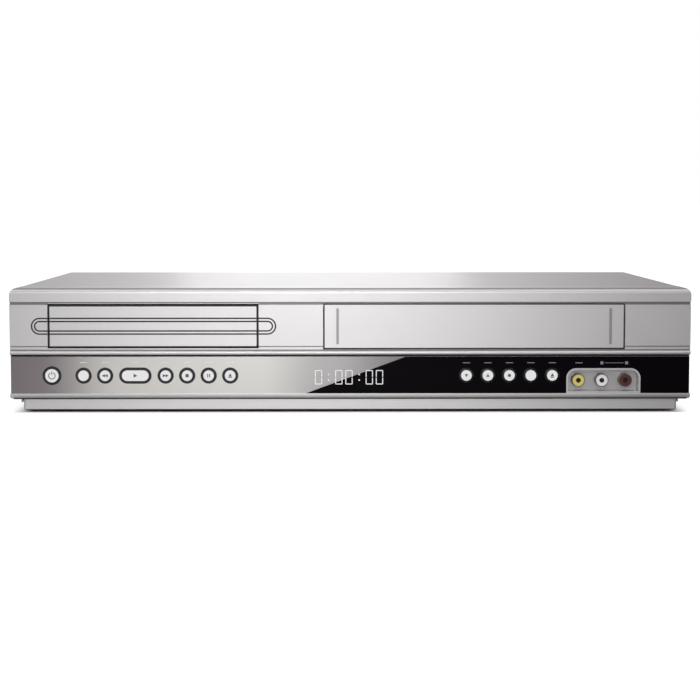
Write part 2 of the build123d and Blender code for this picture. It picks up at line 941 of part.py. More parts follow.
def rear_jack_places():
    """Column x and row z of each round socket: two rows of three, then three over one."""
    low = board_top + rear_row_height
    high = low + rear_row_pitch
    first = main_board_sides()[0] + jack_group_offset
    second = first + 3 * rear_jack_pitch + jack_group_gap
    places = [(first + column * rear_jack_pitch, z) for z in (low, high) for column in range(3)]
    places += [(second + column * rear_jack_pitch, high) for column in range(3)]
    places.append((second, low))
    return places


def jack_windows():
    """Left, right, bottom and top of both socket blocks."""
    places = rear_jack_places()
    margin = rear_jack_pitch / 2
    windows = []
    for group in (places[:6], places[6:]):
        xs = [x for x, z in group]
        zs = [z for x, z in group]
        windows.append((min(xs) - margin, max(xs) + margin,
                        min(zs) - margin, max(zs) + margin))
    return windows


def rear_jack_block():
    """Two moulded blocks of round sockets that stand on the main board."""
    blocks = []
    back = panel_back + jack_block_proud
    tip = cabinet_depth + rear_jack_reach
    for low, high, bottom, top in jack_windows():
        block = front_slab(span(low, high, bottom, top), back - jack_block_depth, back)
        block += front_slab(span(low, high, board_top, top + jack_block_rim),
                            panel_front - jack_block_depth, panel_front)
        rings = Sketch()
        for x, z in rear_jack_places():
            if low < x < high:
                rings += many_sided(x, z, jack_radius)
                rings -= many_sided(x, z, jack_bore_radius, few_sides // 2)
        blocks.append(block + front_slab(rings, back, tip))
    return blocks


def tuner_sides():
    left = jack_windows()[1][1] + tuner_gap
    return left, left + tuner_width


def antenna_places():
    left = tuner_sides()[0]
    low = board_top + rear_row_height
    x = left + antenna_offset
    return [(x, low + rear_row_pitch), (x, low)]


def tuner():
    """Screened tuner can on the main board, with its two threaded aerial sockets."""
    left, right = tuner_sides()
    top = board_top + rear_row_height + rear_row_pitch + tuner_rise
    can = plan_slab(span(left, right, panel_front - tuner_depth, panel_front), board_top, top)
    sockets = [can]
    tip = cabinet_depth + rear_jack_reach
    for x, z in antenna_places():
        nut_back = panel_back + antenna_nut_thickness
        body = front_slab(many_sided(x, z, antenna_radius), panel_front, panel_back)
        body += front_slab(Pos(x, z) * RegularPolygon(antenna_nut_radius, 6), panel_back, nut_back)
        body += front_slab(disc_at(x, z, antenna_radius), nut_back, tip)
        contact = many_sided(x, z, antenna_contact_radius)
        sockets.append(body - front_slab(contact, tip - antenna_contact_depth, tip))
    return sockets


def inlet_place():
    low = power_board_sides()[0]
    return low + inlet_offset, board_top + inlet_height / 2


def inlet_outline(margin):
    x, z = inlet_place()
    return Pos(x, z) * Rectangle(inlet_width + 2 * margin, inlet_height + 2 * margin)


def mains_inlet():
    """Two-pin appliance inlet: a figure-eight recess with two pins, no earth."""
    x, z = inlet_place()
    back = panel_back + jack_block_proud
    body = front_slab(inlet_outline(0), back - inlet_depth, back)
    recess = pill(x, z, inlet_pin_spacing + inlet_recess_height, inlet_recess_height)
    body -= front_slab(recess, back - inlet_recess, back)
    for side in (-1, 1):
        pin = many_sided(x + side * inlet_pin_spacing / 2, z, inlet_pin_radius)
        body += front_slab(pin, back - inlet_recess - inlet_pin_margin, back - inlet_pin_margin)
    return body


# ---- boards ------------------------------------------------------------------------------
def front_board():
    left = left_edge + front_board_inset
    right = right_edge - alcove_offset - alcove_width / 2 - front_board_gap
    face = board_front()
    return front_slab(span(left, right, strip_bottom + front_board_lift, strip_top), face,
                      face + board_thickness)


def tact_switches():
    switches = []
    face = board_front()
    for name, x, width in button_layout():
        box = Pos(x, button_z) * Rectangle(switch_width, switch_width)
        body = front_slab(box, face - switch_height, face)
        plunger = Pos(x, button_z) * Rectangle(plunger_width, plunger_width)
        body += front_slab(plunger, face - switch_height - plunger_height,
                           face - switch_height)
        switches.append(body)
    return switches


def display_tube():
    return front_slab(display_outline(-tube_margin), strip_wall_back + tube_gap, board_front())


def main_board():
    left, right = main_board_sides()
    back = main_board_front + main_board_depth
    board = plan_slab(span(left, right, main_board_front, back), board_bottom, board_top)
    for share, wide, deep, tall in main_board_chips:
        x = left + share * (right - left)
        depth = main_board_front + chip_margin + deep / 2
        chip = Pos(x, depth) * Rectangle(wide, deep)
        board += plan_slab(chip, board_top, board_top + tall)
    return board


def power_board():
    low, high = power_board_sides()
    front = power_board_front()
    back = front + power_board_depth
    return plan_slab(span(low, high, front, back), board_bottom, board_top)


def power_parts():
    """Transformer, mains capacitor and heat sink on the power board."""
    low, high = power_board_sides()
    front = power_board_front()
    place = Pos(low + transformer_x, front + transformer_y)
    core = plan_slab(place * Rectangle(transformer_width, transformer_depth),
                     board_top, board_top + transformer_height)
    winding = place * Rectangle(winding_width, winding_depth)
    core += plan_slab(winding, board_top + winding_low, board_top + winding_high)
    can = many_sided(low + capacitor_x, front + capacitor_y, capacitor_radius)
    capacitor = plan_slab(can, board_top, board_top + capacitor_height)
    near = front + heat_sink_front
    comb = span(low + heat_sink_left, high - heat_sink_right, near, near + heat_sink_thickness)
    for fin in range(fin_count):
        x = low + heat_sink_left + heat_sink_thickness + fin * fin_pitch
        comb += span(x, x + fin_thickness, near, near + fin_reach)
    return [core, capacitor, plan_slab(comb, board_top, board_top + heat_sink_height)]


# ---- disc loader -------------------------------------------------------------------------
def tray_door():
    half = tray_opening_width / 2 - tray_door_gap
    low = tray_opening_bottom + tray_door_gap
    high = tray_opening_top - tray_door_top_gap
    face = span(tray_x - half, tray_x + half, low, high)
    door = front_slab(face, panel_setback, panel_setback + tray_door_thickness)
    return door - front_slab(track_outline(), 0, panel_setback + track_depth)


def gear_centre():
    """Plan place of the tray gear, in mesh with the rack under the tray."""
    pitch_radius = gear_module * gear_teeth / 2
    return rack_left() + tooth_addendum * gear_module - pitch_radius, gear_depth


def rack_left():
    return tray_x + tray_width / 2 - rack_inset - rack_width


def disc_tray():
    front = panel_setback + tray_door_thickness
    half = tray_width / 2
    outline = span(tray_x - half, tray_x + half, front, front + tray_length)
    outline = fillet(outline.vertices().group_by(Axis.Y)[-1], tray_corner_radius)
    body = plan_slab(outline, tray_bottom, tray_top)
    floor = tray_bottom + tray_floor
    well = many_sided(tray_x, disc_depth, disc_radius + disc_clearance, well_sides)
    body -= plan_slab(well, floor + disc_step, tray_top)
    well = many_sided(tray_x, disc_depth, small_disc_radius + disc_clearance, well_sides)
    body -= plan_slab(well, floor, tray_top)
    slot = many_sided(tray_x, disc_depth, tray_slot_width / 2, repeated_sides)
    slot += span(tray_x - tray_slot_width / 2, tray_x + tray_slot_width / 2,
                 disc_depth, disc_depth + small_disc_radius + tray_slot_reach)
    body -= plan_slab(slot, tray_bottom, tray_top)
    rack = rack_outline(rack_left(), rack_width, front + rack_front_gap,
                        front + tray_length - rack_rear_gap,
                        gear_module, tooth_backlash, gear_depth + pi * gear_module / 2)
    return body + plan_slab(rack, tray_bottom - rack_height, tray_bottom)


def loader_sides():
    half = tray_width / 2 + loader_gap
    return tray_x - half, tray_x + half


def loader_rear():
    return panel_setback + tray_door_thickness + tray_length + loader_rear_gap


def loader_frame():
    """Moulded tub: base with a window for the traverse, side rails, legs to the floor."""
    left, right = loader_sides()
    rear = loader_rear()
    wall_top = loader_top + loader_wall_height
    bottom = loader_top - loader_base
    outer = span(left - loader_wall, right + loader_wall, loader_front, rear + loader_wall)
    half_window = traverse_half_width + loader_window_gap
    window = span(tray_x - half_window, tray_x + half_window,
                  traverse_front() - loader_window_gap, traverse_rear() + loader_window_gap)
    body = plan_slab(outer - window, bottom, loader_top)
    walls = outer - span(left, right, loader_front, rear)
    body += plan_slab(walls, loader_top, wall_top)
    for low in (left, right - loader_rail_width):
        rail = span(low, low + loader_rail_width, loader_front, rear)
        body += plan_slab(rail, loader_top, tray_bottom - glide_gap)
    for x in (left + leg_inset, right - leg_inset):
        for depth in (fascia_depth + leg_width / 2 + leg_gap, rear - leg_inset):
            leg = Pos(x, depth) * Rectangle(leg_width, leg_width)
            body += plan_slab(leg, floor_top, bottom)
    x, depth = gear_centre()
    body += plan_slab(disc_at(x, depth, axle_radius), loader_top, tray_bottom - gear_clearance)
    for depth in (traverse_front() + lug_inset, traverse_rear() - lug_inset):
        for side in (-1, 1):
            x = tray_x + side * half_window
            tip = x - side * lug_reach
            lug = span(min(x, tip), max(x, tip), depth - lug_width / 2, depth + lug_width / 2)
            body += plan_slab(lug, bottom, bottom + lug_thickness)
    return body


def tray_gear():
    x, depth = gear_centre()
    wheel = Pos(x, depth) * gear_outline(gear_teeth, gear_module, tooth_backlash)
    top = tray_bottom - gear_clearance
    body = plan_slab(wheel, top - gear_thickness, top)
    body += plan_slab(many_sided(x, depth, gear_hub_radius), loader_top + gear_lift, top)
    bore = clear_bore(x, depth, axle_radius + running_clearance)
    return body - plan_slab(bore, loader_top, top)


def loading_motor():
    """Small can motor that hangs under the loader's base, beside the traverse."""
    x = loader_sides()[0] + motor_inset
    depth = fascia_depth + motor_front_gap
    bottom = loader_top - loader_base
    body = plan_slab(many_sided(x, depth, motor_radius), bottom - motor_height, bottom)
    boss = many_sided(x, depth, motor_radius / 4)
    return body + plan_slab(boss, bottom - motor_height - motor_boss_height, bottom - motor_height)


def traverse_front():
    return disc_depth - spindle_motor_radius - traverse_margin


def traverse_rear():
    return disc_depth + pickup_offset + pickup_travel + pickup_length / 2 + traverse_margin


def traverse_top():
    return loader_top - loader_base


def rod_level():
    return traverse_top() - rod_drop


def traverse_frame():
    """Ring frame under the loader's window that carries the spindle motor and the rods."""
    top = traverse_top()
    half = traverse_half_width
    outer = rounded(tray_x, (traverse_front() + traverse_rear()) / 2,
                    2 * half, traverse_rear() - traverse_front(), traverse_corner_radius)
    inner_half_width = half - traverse_rim
    start = disc_depth + spindle_motor_radius + traverse_window_gap
    window = span(tray_x - inner_half_width, tray_x + inner_half_width, start,
                  traverse_rear() - traverse_rim)
    body = plan_slab(outer - window, top - traverse_thickness, top)
    seat = many_sided(tray_x, disc_depth, spindle_motor_radius + motor_seat_gap)
    return body - plan_slab(seat, top - motor_sink, top)


def turntable_tip():
    return tray_bottom - turntable_drop


def spindle_motor():
    """Flat motor body with the shaft that the turntable runs on."""
    top = traverse_top()
    body = plan_slab(many_sided(tray_x, disc_depth, spindle_motor_radius), top - motor_sink,
                     top + motor_rise)
    shaft = disc_at(tray_x, disc_depth, spindle_shaft_radius)
    return body + plan_slab(shaft, top + motor_rise, turntable_tip() - shaft_tip_gap)


def disc_turntable():
    tip = turntable_tip()
    seat = tip - spindle_cone_height
    table = plan_slab(many_sided(tray_x, disc_depth, turntable_radius),
                      traverse_top() + motor_rise + turntable_lift, seat)
    hub = plan_slab(many_sided(tray_x, disc_depth, spindle_radius), seat, tip)
    hub = chamfer(hub.edges().group_by(Axis.Z)[-1], cone_chamfer)
    bore = clear_bore(tray_x, disc_depth, spindle_shaft_radius + running_clearance)
    return table + hub - plan_slab(bore, traverse_top(), tip - bore_top_gap)


def pickup_rods():
    rods = []
    start = disc_depth + spindle_motor_radius + traverse_window_gap
    for side in (-1, 1):
        x = tray_x + side * rod_spacing / 2
        rods.append(front_slab(many_sided(x, rod_level(), rod_radius), start,
                               traverse_rear() - traverse_rim))
    return rods


def optical_pickup():
    """Sled on two rods, with the lens on top."""
    middle = disc_depth + pickup_offset
    sled_top = rod_level() + sled_over
    cup_top = sled_top + lens_cup_height
    half = pickup_length / 2
    sled = Pos(tray_x, middle) * Rectangle(rod_spacing + 2 * sled_margin, pickup_length)
    body = plan_slab(sled, rod_level() - sled_under, sled_top)
    for side in (-1, 1):
        x = tray_x + side * rod_spacing / 2
        bore = clear_bore(x, rod_level(), rod_radius + running_clearance)
        body -= front_slab(bore, middle - half, middle + half)
    lens = many_sided(tray_x, middle, lens_radius)
    cup = plan_slab(many_sided(tray_x, middle, lens_radius + lens_cup_margin),
                    sled_top, cup_top)
    return body + cup + plan_slab(lens, cup_top, cup_top + lens_height)


def bridge_bottom():
    return loader_top + loader_wall_height


def clamp_bridge():
    left, right = loader_sides()
    low = disc_depth - bridge_width / 2
    strip = span(left - loader_wall, right + loader_wall, low, low + bridge_width)
    strip -= many_sided(tray_x, disc_depth, clamp_radius + clamp_hole_gap)
    return plan_slab(strip, bridge_bottom(), bridge_bottom() + bridge_thickness)


def clamp_disc():
    """Magnetic clamp that hangs by its flange in the bridge's hole."""
    top = bridge_bottom() + bridge_thickness + clamp_lift
    body = plan_slab(many_sided(tray_x, disc_depth, clamp_radius), tray_top + clamp_rise, top)
    flange = many_sided(tray_x, disc_depth, clamp_radius + clamp_flange)
    return body + plan_slab(flange, top, top + clamp_flange_thickness)


# ---- cassette deck -----------------------------------------------------------------------
def cassette_door():
    """Flap with a pin at each end of its upper edge and two upright grooves."""
    face = cassette_opening(door_gap)
    door = front_slab(face, panel_setback, panel_setback + cassette_door_thickness)
    half = cassette_opening_width / 2 - door_gap
    middle = (door_bottom + door_top) / 2
    length = door_top - door_bottom - 2 * pill_groove_margin
    for side in (-1, 1):
        x = cassette_x + side * (half - pill_groove_inset)
        groove = Pos(x, middle) * Rot(0, 0, 90) * pill(0, 0, length, pill_groove_width)
        door -= front_slab(groove, 0, panel_setback + pill_groove_depth)
    return door + hinge_line(disc_at(hinge_depth, hinge_z, hinge_pin_radius), hinge_pin_length)


def holder_half():
    return cassette_width / 2 + holder_side_gap + holder_wall


def cassette_holder():
    """Folded sheet: top plate, two sides and a ledge under each side."""
    half = holder_half()
    low = entry_bottom - holder_wall
    high = entry_bottom + cassette_height + holder_side_gap + holder_wall
    back = holder_front + holder_length
    frame = span(cassette_x - half, cassette_x + half, low, high)
    frame -= span(cassette_x - half + holder_wall, cassette_x + half - holder_wall,
                  entry_bottom, high - holder_wall)
    gap_half = half - holder_ledge
    frame -= span(cassette_x - gap_half, cassette_x + gap_half, low, entry_bottom)
    body = front_slab(frame, holder_front, back)
    stop = span(cassette_x - holder_stop_half, cassette_x + holder_stop_half,
                high - holder_stop_height, high)
    body += front_slab(stop, back - holder_wall, back)
    for side in (-1, 1):
        for depth in guide_pin_depths():
            pin = many_sided(depth, guide_pin_level(), guide_pin_radius)
            start = cassette_x + side * half
            end = start + side * (rail_gap + rail_thickness + guide_pin_reach)
            body += side_slab(pin, min(start, end), max(start, end))
    return body


def guide_pin_depths():
    return [holder_front + guide_pin_inset, holder_front + holder_length - guide_pin_inset]


def guide_pin_level():
    return entry_bottom + cassette_height / 2


def holder_rails():
    """Side plates with the slots that lead the holder's pins in and then down."""
    rails = []
    bottom = deck_level
    rail_front = holder_front + rail_front_gap
    top = guide_pin_level() + rail_rise
    slot_half = guide_pin_radius + guide_pin_gap
    for side in (-1, 1):
        near = holder_half() + rail_gap
        start = cassette_x + side * near
        end = start + side * rail_thickness
        plate = span(rail_front, rail_front + rail_length, bottom, top)
        for depth in guide_pin_depths():
            run = span(depth - slot_half, depth + holder_travel + slot_half,
                       guide_pin_level() - slot_half, guide_pin_level() + slot_half)
            drop = span(depth + holder_travel - slot_half, depth + holder_travel + slot_half,
                        guide_pin_level() - deck_drop - slot_half, guide_pin_level())
            plate -= run + drop
        rails.append(side_slab(plate, min(start, end), max(start, end)))
    return rails


def deck_sides():
    half = holder_half() + rail_gap + rail_thickness
    return cassette_x - half, cassette_x + half


def reel_places():
    depth = loaded_edge - reel_setback
    return [(cassette_x - reel_spacing / 2, depth), (cassette_x + reel_spacing / 2, depth)]


def capstan_place():
    return cassette_x + capstan_offset, loaded_edge + capstan_setback


def deck_plate():
    left, right = deck_sides()
    outline = span(left, right, holder_front + rail_front_gap, deck_rear)
    x, depth = capstan_place()
    outline -= clear_bore(x, depth, capstan_radius + running_clearance)
    body = plan_slab(outline, deck_under, deck_level)
    for reel_x, reel_depth in reel_places():
        post = disc_at(reel_x, reel_depth, reel_post_radius)
        body += plan_slab(post, deck_level, deck_level + deck_under_reels + reel_post_rise)
    for x in (left + deck_leg_inset, right - deck_leg_inset):
        for depth in (holder_front + deck_leg_front, deck_rear - deck_leg_inset):
            body += hex_standoff(x, depth, floor_top, deck_under)
    return body


def reel(x, depth):
    """Reel table: flange with a splined spindle that enters the cassette's hub."""
    low = deck_level + reel_lift
    table_top = deck_level + deck_under_reels - reel_table_drop
    body = plan_slab(many_sided(x, depth, reel_radius), table_top - reel_flange, table_top)
    spindle = many_sided(x, depth, spindle_post_radius)
    for spline in range(3):
        spindle += Pos(x, depth) * Rot(0, 0, 60 * spline) * Rectangle(
            2 * (spindle_post_radius + spline_reach), spline_width)
    body += plan_slab(spindle, low, table_top + spindle_height)
    bore = clear_bore(x, depth, reel_post_radius + running_clearance)
    bore_top = deck_level + deck_under_reels + reel_post_rise + reel_bore_gap
    return body - plan_slab(bore, low - overshoot, bore_top)


def drum_frame():
    """Place and tilt of the drum: its lower half's top centre."""
    depth = loaded_edge + drum_setback
    level = deck_level + drum_lift + drum_height
    return Pos(cassette_x, front_y + depth, level) * Rot(drum_tilt, 0, 0)


def drum_slab(radius, sides, low, high):
    """Round piece on the drum's own tilted axis, between two heights along it."""
    return drum_frame() * Pos(0, 0, low) * extrude(RegularPolygon(radius, sides), high - low)


def drum_base():
    """Fixed lower drum on its inclined foot, with the shaft of the upper drum."""
    lower = drum_slab(drum_radius, drum_sides, -drum_height - drum_sunk, 0)
    depth = loaded_edge + drum_setback
    foot = Pos(cassette_x, depth) * Rectangle(2 * (drum_radius + drum_foot_margin),
                                              2 * drum_radius - drum_foot_trim)
    foot = plan_slab(foot, deck_level, deck_level + drum_foot_thickness)
    reach = 2 * drum_radius
    below = plan_slab(span(cassette_x - reach, cassette_x + reach, depth - reach, depth + reach),
                      deck_level - reach, deck_level)
    shaft = drum_frame() * Pos(0, 0, drum_height / 2) * Cylinder(
        drum_shaft_radius, drum_height + 2 * overshoot)
    return lower + foot + shaft - below


def head_drum():
    """Spinning upper drum, hollow from above, on the lower drum's shaft."""
    top = drum_gap + drum_height
    body = drum_slab(drum_radius, drum_sides, drum_gap, top)
    body -= drum_slab(drum_radius - drum_rim, drum_sides, top - drum_recess, top)
    bore = (drum_shaft_radius + running_clearance) / cos(pi / few_sides)
    return body - drum_slab(bore, few_sides, 0, top)


def capstan():
    """Flywheel under the deck plate with the capstan's shaft through the plate."""
    x, depth = capstan_place()
    top = deck_under - flywheel_gap
    wheel = plan_slab(many_sided(x, depth, flywheel_radius), top - flywheel_thickness, top)
    shaft = disc_at(x, depth, capstan_radius)
    return wheel + plan_slab(shaft, top, deck_level + capstan_height)


def pinch_place():
    x, depth = capstan_place()
    return x + pinch_offset, depth - pinch_radius - capstan_radius - pinch_rest_gap


def pinch_arm():
    """Lever with the pinch roller's pin, on its own post."""
    x, depth = pinch_place()
    level = deck_level + pinch_arm_level
    lever = pill(x + pinch_post_shift / 2, depth, pinch_lever_length, pinch_lever_width)
    body = plan_slab(lever, level, level + pinch_lever_thickness)
    body += plan_slab(many_sided(x + pinch_post_shift, depth, post_radius), deck_level, level)
    pin = disc_at(x, depth, pinch_pin_radius)
    return body + plan_slab(pin, level + pinch_lever_thickness, level + pinch_height + pinch_pin_rise)


def pinch_roller():
    x, depth = pinch_place()
    level = deck_level + pinch_arm_level + pinch_lever_thickness + pinch_roller_gap
    ring = many_sided(x, depth, pinch_radius)
    ring -= clear_bore(x, depth, pinch_pin_radius + running_clearance)
    return plan_slab(ring, level, level + pinch_height)


def tape_guides():
    """Entry and exit guide posts beside the drum, and the sound head's block."""
    pieces = []
    for side in (-1, 1):
        x = cassette_x + side * (drum_radius + drum_foot_margin + post_radius + guide_gap)
        depth = loaded_edge + guide_setback
        post = plan_slab(many_sided(x, depth, post_radius), deck_level, deck_level + guide_height)
        post += plan_slab(many_sided(x, depth, post_radius + guide_collar), deck_level,
                          deck_level + guide_collar_height)
        pieces.append(post)
    x, depth = capstan_place()
    left = x + sound_head_offset
    near = depth + sound_head_setback
    head = span(left, left + sound_head_width, near, near + sound_head_depth)
    pieces.append(plan_slab(head, deck_level, deck_level + sound_head_height))
    return pieces


def build_nodes():
    """Every node's name and its solid or group of solids."""
    nodes = {
        "front_fascia": front_fascia(),
        "control_strip": control_strip(),
        "display_window": display_window(),
        "plinth_trim": plinth_trim(),
        "jack_alcove": jack_alcove(),
        "top_cover": top_cover(),
        "bottom_chassis": bottom_chassis(),
        "rear_panel": rear_panel(),
        "rubber_feet": rubber_feet(),
        "front_board": front_board(),
        "tact_switches": tact_switches(),
        "display_tube": display_tube(),
        "main_board": main_board(),
        "power_board": power_board(),
        "power_parts": power_parts(),
        "tuner": tuner(),
        "rear_jack_block": rear_jack_block(),
        "mains_inlet": mains_inlet(),
        "socket_shells": socket_shells(),
        "socket_cores": socket_cores(),
        "tray_door": tray_door(),
        "disc_tray": disc_tray(),
        "loader_frame": loader_frame(),
        "tray_gear": tray_gear(),
        "loading_motor": loading_motor(),
        "traverse_frame": traverse_frame(),
        "spindle_motor": spindle_motor(),
        "disc_turntable": disc_turntable(),
        "pickup_rods": pickup_rods(),
        "optical_pickup": optical_pickup(),
        "clamp_bridge": clamp_bridge(),
        "clamp_disc": clamp_disc(),
        "cassette_door": cassette_door(),
        "cassette_holder": cassette_holder(),
        "holder_rails": holder_rails(),
        "deck_plate": deck_plate(),
        "drum_base": drum_base(),
        "head_drum": head_drum(),
        "capstan": capstan(),
        "pinch_arm": pinch_arm(),
        "pinch_roller": pinch_roller(),
        "tape_guides": tape_guides(),
    }
    for name, place in zip(("supply_reel", "takeup_reel"), reel_places()):
        nodes[name] = reel(*place)
    for name, x, width in button_layout():
        nodes[name] = button(x, width)
    return nodes


def write_parts(nodes):
    """One STEP file for each node, in parts/."""
    os.makedirs("parts", exist_ok=True)
    for name, shape in nodes.items():
        pieces = shape if isinstance(shape, list) else [shape]
        solids = [solid for piece in pieces for solid in piece.solids()]
        whole = solids[0] if len(solids) == 1 else Compound(solids)
        export_step(whole, "parts/" + name + ".step")


all_nodes = build_nodes()
write_parts(all_nodes)
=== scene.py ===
import math

import bmesh
import bpy
from mathutils import Euler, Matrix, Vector


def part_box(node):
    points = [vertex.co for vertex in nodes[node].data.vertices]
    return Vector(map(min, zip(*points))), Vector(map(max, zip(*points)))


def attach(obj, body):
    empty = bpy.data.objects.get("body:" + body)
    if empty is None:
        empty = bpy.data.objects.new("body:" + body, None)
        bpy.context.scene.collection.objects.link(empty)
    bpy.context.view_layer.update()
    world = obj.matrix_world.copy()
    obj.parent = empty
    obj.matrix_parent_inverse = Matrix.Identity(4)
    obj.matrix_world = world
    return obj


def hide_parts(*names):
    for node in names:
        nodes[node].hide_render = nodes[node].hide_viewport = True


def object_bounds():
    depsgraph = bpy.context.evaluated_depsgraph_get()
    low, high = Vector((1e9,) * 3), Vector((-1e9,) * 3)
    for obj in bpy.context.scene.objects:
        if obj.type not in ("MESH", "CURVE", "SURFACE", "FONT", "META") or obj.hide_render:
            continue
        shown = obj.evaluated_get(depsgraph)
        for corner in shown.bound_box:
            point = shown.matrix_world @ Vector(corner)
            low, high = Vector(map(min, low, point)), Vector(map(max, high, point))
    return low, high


# Looks of the disc player and cassette recorder. Metres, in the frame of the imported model.

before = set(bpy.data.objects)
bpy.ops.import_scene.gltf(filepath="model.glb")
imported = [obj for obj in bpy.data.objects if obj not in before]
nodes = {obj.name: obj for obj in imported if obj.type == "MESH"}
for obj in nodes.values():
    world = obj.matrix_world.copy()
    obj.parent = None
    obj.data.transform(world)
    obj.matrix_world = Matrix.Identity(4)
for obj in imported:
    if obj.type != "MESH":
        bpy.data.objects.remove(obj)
cad_low, cad_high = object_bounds()

# ---- sizes ------------------------------------------------------------------------------
MM = 0.001
PRINT = 0.05 * MM                      # thickness of printed marks

# planes, from the front backwards
FRONT = cad_low.y                      # foremost plane of the fascia
LIP_FACE = FRONT + 0.4 * MM
PANEL_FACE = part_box("tray_door")[0].y
COVE_BOTTOM = FRONT + 1.8 * MM         # bottom of the cove's two fine grooves
BOSS_FACE = FRONT + 2.0 * MM           # hinge bosses beside the flap
BEZEL_GROOVE = FRONT + 2.2 * MM        # bottom of the groove under the bezel
STRIP_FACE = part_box("control_strip")[0].y
STRIP_BACK = FRONT + 3.6 * MM          # wall behind the control strip

# levels of the fascia's bands, from the bottom up
LIP_BOTTOM = 8.8 * MM
STRIP_TOP = 35.55 * MM
BEAD_BOTTOM = 36.8 * MM
BEAD_TOP = 39.5 * MM
PANEL_BOTTOM = 42.4 * MM               # lower edge of the flat field that holds both doors
PANEL_TOP = 68.4 * MM
DOOR_TOP = 69.3 * MM                   # both doors reach this far into the bezel's groove
BEZEL_BOTTOM = 70.3 * MM
END_MARGIN = 0.4 * MM                  # painted shade stops this far from the fascia's ends

HINGE_PIN = 3.0 * MM                   # the flap's pins reach this far past its ends
HINGE_BOSS = 9.0 * MM                  # reach of the boss beside the flap
TRAY_GAP = 0.6 * MM
DOOR_SHADE = 0.75 * MM                  # painted shade of the gap round each door
BUTTON_RING = 1.1 * MM                 # open ring round each button's cap
BUTTON_FLANGE = 2.1 * MM               # hidden flange round each cap

PLINTH_HALF = 207.4 * MM
PLINTH_WALL = 2.2 * MM
PLINTH_CORNER = 1.2 * MM
PLINTH_BOTTOM = 1.4 * MM
PLINTH_SHADE = 0.45 * MM               # dark line along the channel's lower edge
CORNER_STEPS = 6
FOOT_HALF_DEPTH = 129.3 * MM           # half the depth of what stands near the floor, which bounds the floor's painted shadow

# black sheet behind the tray's door: painted shade in the door's gap
SHEET_REACH = 0.55 * MM
SHEET_SIDE = 1.5 * MM
SHEET_BOTTOM, SHEET_LOWER_EDGE = 40.95 * MM, 43.4 * MM
SHEET_UPPER_EDGE, SHEET_TOP = 60.0 * MM, 68.95 * MM


# ---- materials ---------------------------------------------------------------------------
def shader(name, color, metallic=0.0, roughness=0.5, specular=0.5, coat=0.0):
    """New material with one Principled shader, and its node tree."""
    material = bpy.data.materials.new(name)
    material.use_nodes = True
    tree = material.node_tree
    principled = tree.nodes["Principled BSDF"]
    principled.inputs["Base Color"].default_value = (*color, 1.0)
    principled.inputs["Metallic"].default_value = metallic
    principled.inputs["Roughness"].default_value = roughness
    principled.inputs["Specular IOR Level"].default_value = specular
    principled.inputs["Coat Weight"].default_value = coat
    principled.inputs["Coat Roughness"].default_value = 0.08
    return material, tree, principled


def add(tree, kind, **values):
    """New node with its inputs set by name."""
    node = tree.nodes.new(kind)
    for key, value in values.items():
        node.inputs[key.replace("_", " ")].default_value = value
    return node


def feed(tree, socket, value):
    """Give a socket a number, a colour or another socket's output."""
    if isinstance(value, float):
        socket.default_value = value
    elif isinstance(value, tuple):
        socket.default_value = (*value, 1.0)
    else:
        tree.links.new(value, socket)


def calculate(tree, operation, first, second=0.0):
    node = tree.nodes.new("ShaderNodeMath")
    node.operation = operation
    for socket, value in zip(node.inputs, (first, second)):
        feed(tree, socket, value)
    return node.outputs[0]


def mixed(tree, factor, first, second):
    """First number where the factor is 0, second where it is 1."""
    node = tree.nodes.new("ShaderNodeMix")
    for name, value in (("Factor", factor), ("A", first), ("B", second)):
        feed(tree, node.inputs[name], value)
    return node.outputs["Result"]


def blended(tree, factor, first, second, blend="MIX"):
    """As mixed, for colours."""
    node = tree.nodes.new("ShaderNodeMix")
    node.data_type = "RGBA"
    node.blend_type = blend
    for name, value in (("Factor", factor), ("A", first), ("B", second)):
        feed(tree, node.inputs[name], value)
    return node.outputs["Result"]


def axes(tree, vector):
    """Outputs X, Y and Z of a vector."""
    split = tree.nodes.new("ShaderNodeSeparateXYZ")
    tree.links.new(vector, split.inputs["Vector"])
    return split.outputs


def coordinates(tree, stretch=(1.0, 1.0, 1.0)):
    """Object coordinates in metres, stretched along each axis."""
    place = tree.nodes.new("ShaderNodeTexCoord")
    mapping = add(tree, "ShaderNodeMapping", Scale=stretch)
    tree.links.new(place.outputs["Object"], mapping.inputs["Vector"])
    return mapping.outputs["Vector"]


def noise(tree, vector, scale, detail=3.0):
    node = add(tree, "ShaderNodeTexNoise", Scale=scale, Detail=detail, Roughness=0.6)
    tree.links.new(vector, node.inputs["Vector"])
    return node.outputs["Fac"]


def between(tree, value, low, high):
    """The value from 0 to 1 mapped to low to high."""
    node = add(tree, "ShaderNodeMapRange", To_Min=low, To_Max=high)
    tree.links.new(value, node.inputs["Value"])
    return node.outputs["Result"]


def bump(tree, principled, height, depth):
    node = add(tree, "ShaderNodeBump", Strength=1.0, Distance=depth)
    tree.links.new(height, node.inputs["Height"])
    tree.links.new(node.outputs["Normal"], principled.inputs["Normal"])


def shades(tree, value, dark, light):
    """Colour between two colours, led by a value."""
    ramp = tree.nodes.new("ShaderNodeValToRGB")
    for element, position, color in zip(ramp.color_ramp.elements, (0.3, 0.7), (dark, light)):
        element.position = position
        element.color = (*color, 1.0)
    tree.links.new(value, ramp.inputs["Fac"])
    return ramp.outputs["Color"]


def tint(tree, principled, value, dark, light):
    """Base colour between two colours, led by a value."""
    tree.links.new(shades(tree, value, dark, light), principled.inputs["Base Color"])


def scaled(color, share):
    return tuple(channel * share for channel in color)


